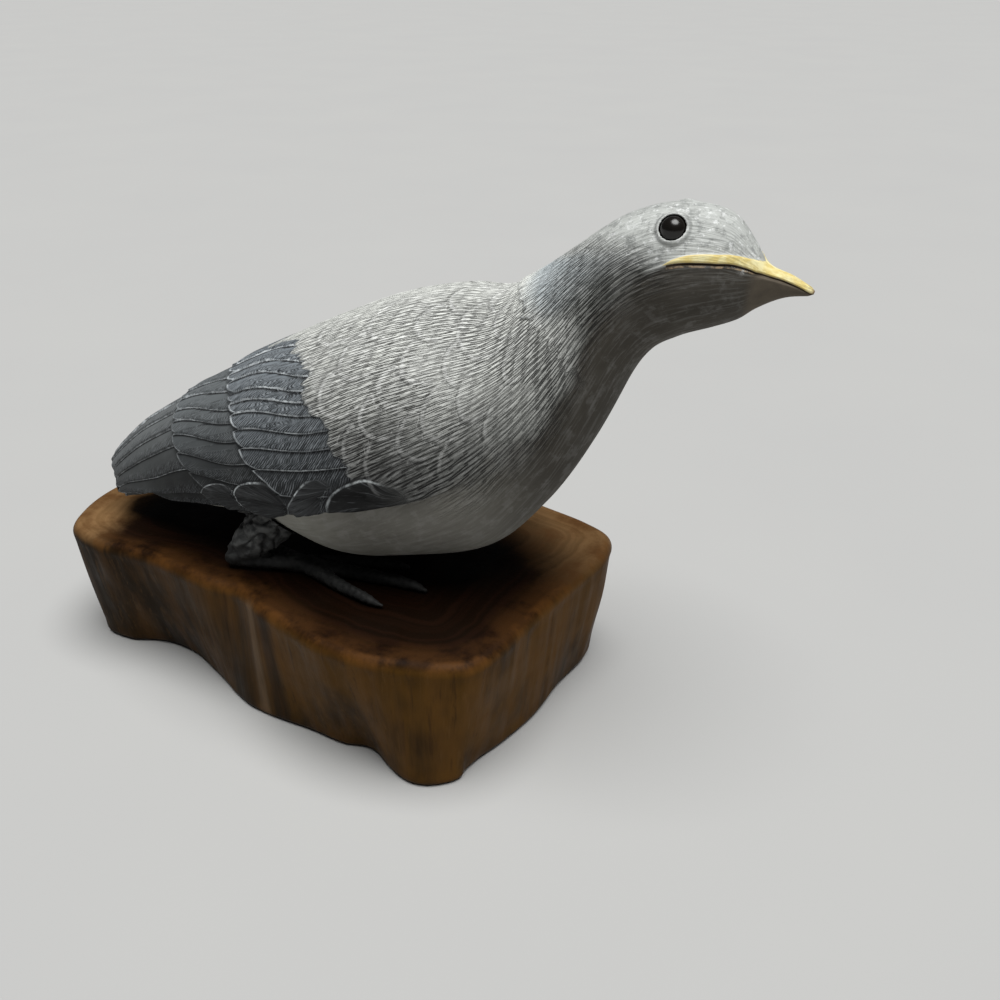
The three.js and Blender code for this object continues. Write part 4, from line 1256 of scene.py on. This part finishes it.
# Dark heartwood with a painted shadow of the bird over the middle of the top.
heartwood_and_shadow = r.mix(ring_tone, rgb(17, 8, 3), rgb(26, 13, 6))
sap = r.mix(ring_tone, rgb(106, 80, 51), rgb(120, 92, 61))
sap = r.coat(sap, rgb(84, 52, 26), r.ramp(blot, 0.42, 0.66), 0.6)
left_end = r.ramp(r.add(east, r.times(blot, 0.012)), -0.053, -0.069)
right_end = r.ramp(r.add(r.times(east, 0.75), r.times(north, 0.66), r.times(blot, 0.02)), 0.05, 0.078)
top_colour = r.coat(heartwood_and_shadow, sap, r.compute("MAXIMUM", left_end, right_end))
top_colour = r.coat(top_colour, rgb(72, 46, 22), r.ramp(inward_n, 14, 3), r.ramp(blot, 0.35, 0.6), 0.5)
colour = r.mix(r.number("top"), bark, top_colour)
# Painted amber highlight along the rim.
colour = r.coat(colour, rgb(100, 64, 28), r.band(inward_n, 1.6, 2.6, 0.4), r.ramp(streak, 0.4, 0.65), 0.4)
gloss = r.ramp(r.noise(space, 60, detail=3), 0.3, 0.7, 0.4, 0.6)
grain_bump = r.bump(r.add(fibre, r.times(streak, 0.8)), 0.25, 0.5)
wood = r.end(Base_Color=colour, Roughness=gloss, Normal=grain_bump)
live_edge_slab.data.materials.append(wood)
print("steps in the wood:", len(r.tree.nodes))

# %% [markdown]
# ## Studio
#
# A plain pale floor, one large soft light above, a little behind the bird and to its left, and a
# weak even sky. The floor lies a hair below the wood, so the two never share a surface.

# %% Floor and light
FLOOR_HALF, FLOOR_DROP = 6000, 0.05
LIGHT_WIDTH, LIGHT_STRENGTH, LIGHT_WAY = 46, 4.5, (0.16, -0.12, -1)

corners = [[-1, -1], [1, -1], [1, 1], [-1, 1]]
floor = new_piece("studio_floor", [[x * FLOOR_HALF, y * FLOOR_HALF, -FLOOR_DROP] for x, y in corners],
                  [[0, 1, 2, 3]])
r = Recipe("pale_floor", Roughness=0.9, Specular_IOR_Level=0.1)
floor.data.materials.append(
    r.end(Base_Color=r.mix(r.noise(r.where(), 8), rgb(170, 170, 170), rgb(174, 174, 173))))

lamp = bpy.data.lights.new("overhead", "SUN")
lamp.angle, lamp.energy, lamp.color = math.radians(LIGHT_WIDTH), LIGHT_STRENGTH, (1, 1, 0.985)
overhead = bpy.data.objects.new("overhead", lamp)
x, y, z = LIGHT_WAY
overhead.rotation_euler = (math.atan2(math.hypot(x, y), -z), 0, math.atan2(-x, y) + math.pi)
bpy.context.scene.collection.objects.link(overhead)

world = bpy.data.worlds.new("studio_air")
world.use_nodes = True
world.node_tree.nodes["Background"].inputs["Color"].default_value = (0.95, 0.97, 1, 1)
world.node_tree.nodes["Background"].inputs["Strength"].default_value = 0.06
bpy.context.scene.world = world
bpy.context.scene.view_settings.view_transform = "Standard"

# %% [markdown]
# The camera stands where the photographer stood: azimuth 20 degrees, 28 degrees up, with a lens
# that gives the bird the same perspective.

# %% Camera
camera_data = bpy.data.cameras.new("photographer")
camera_data.lens, camera_data.sensor_width, camera_data.sensor_fit = 38.16, 36, "HORIZONTAL"
camera_data.clip_start = 0.01
camera = bpy.data.objects.new("photographer", camera_data)
camera.location = (0.1475, -0.2590, 0.2060)
camera.rotation_euler = (math.radians(62), 0, math.radians(20))
bpy.context.scene.collection.objects.link(camera)
bpy.context.scene.camera = camera
print("camera's lens:", round(camera_data.lens, 2), "mm")
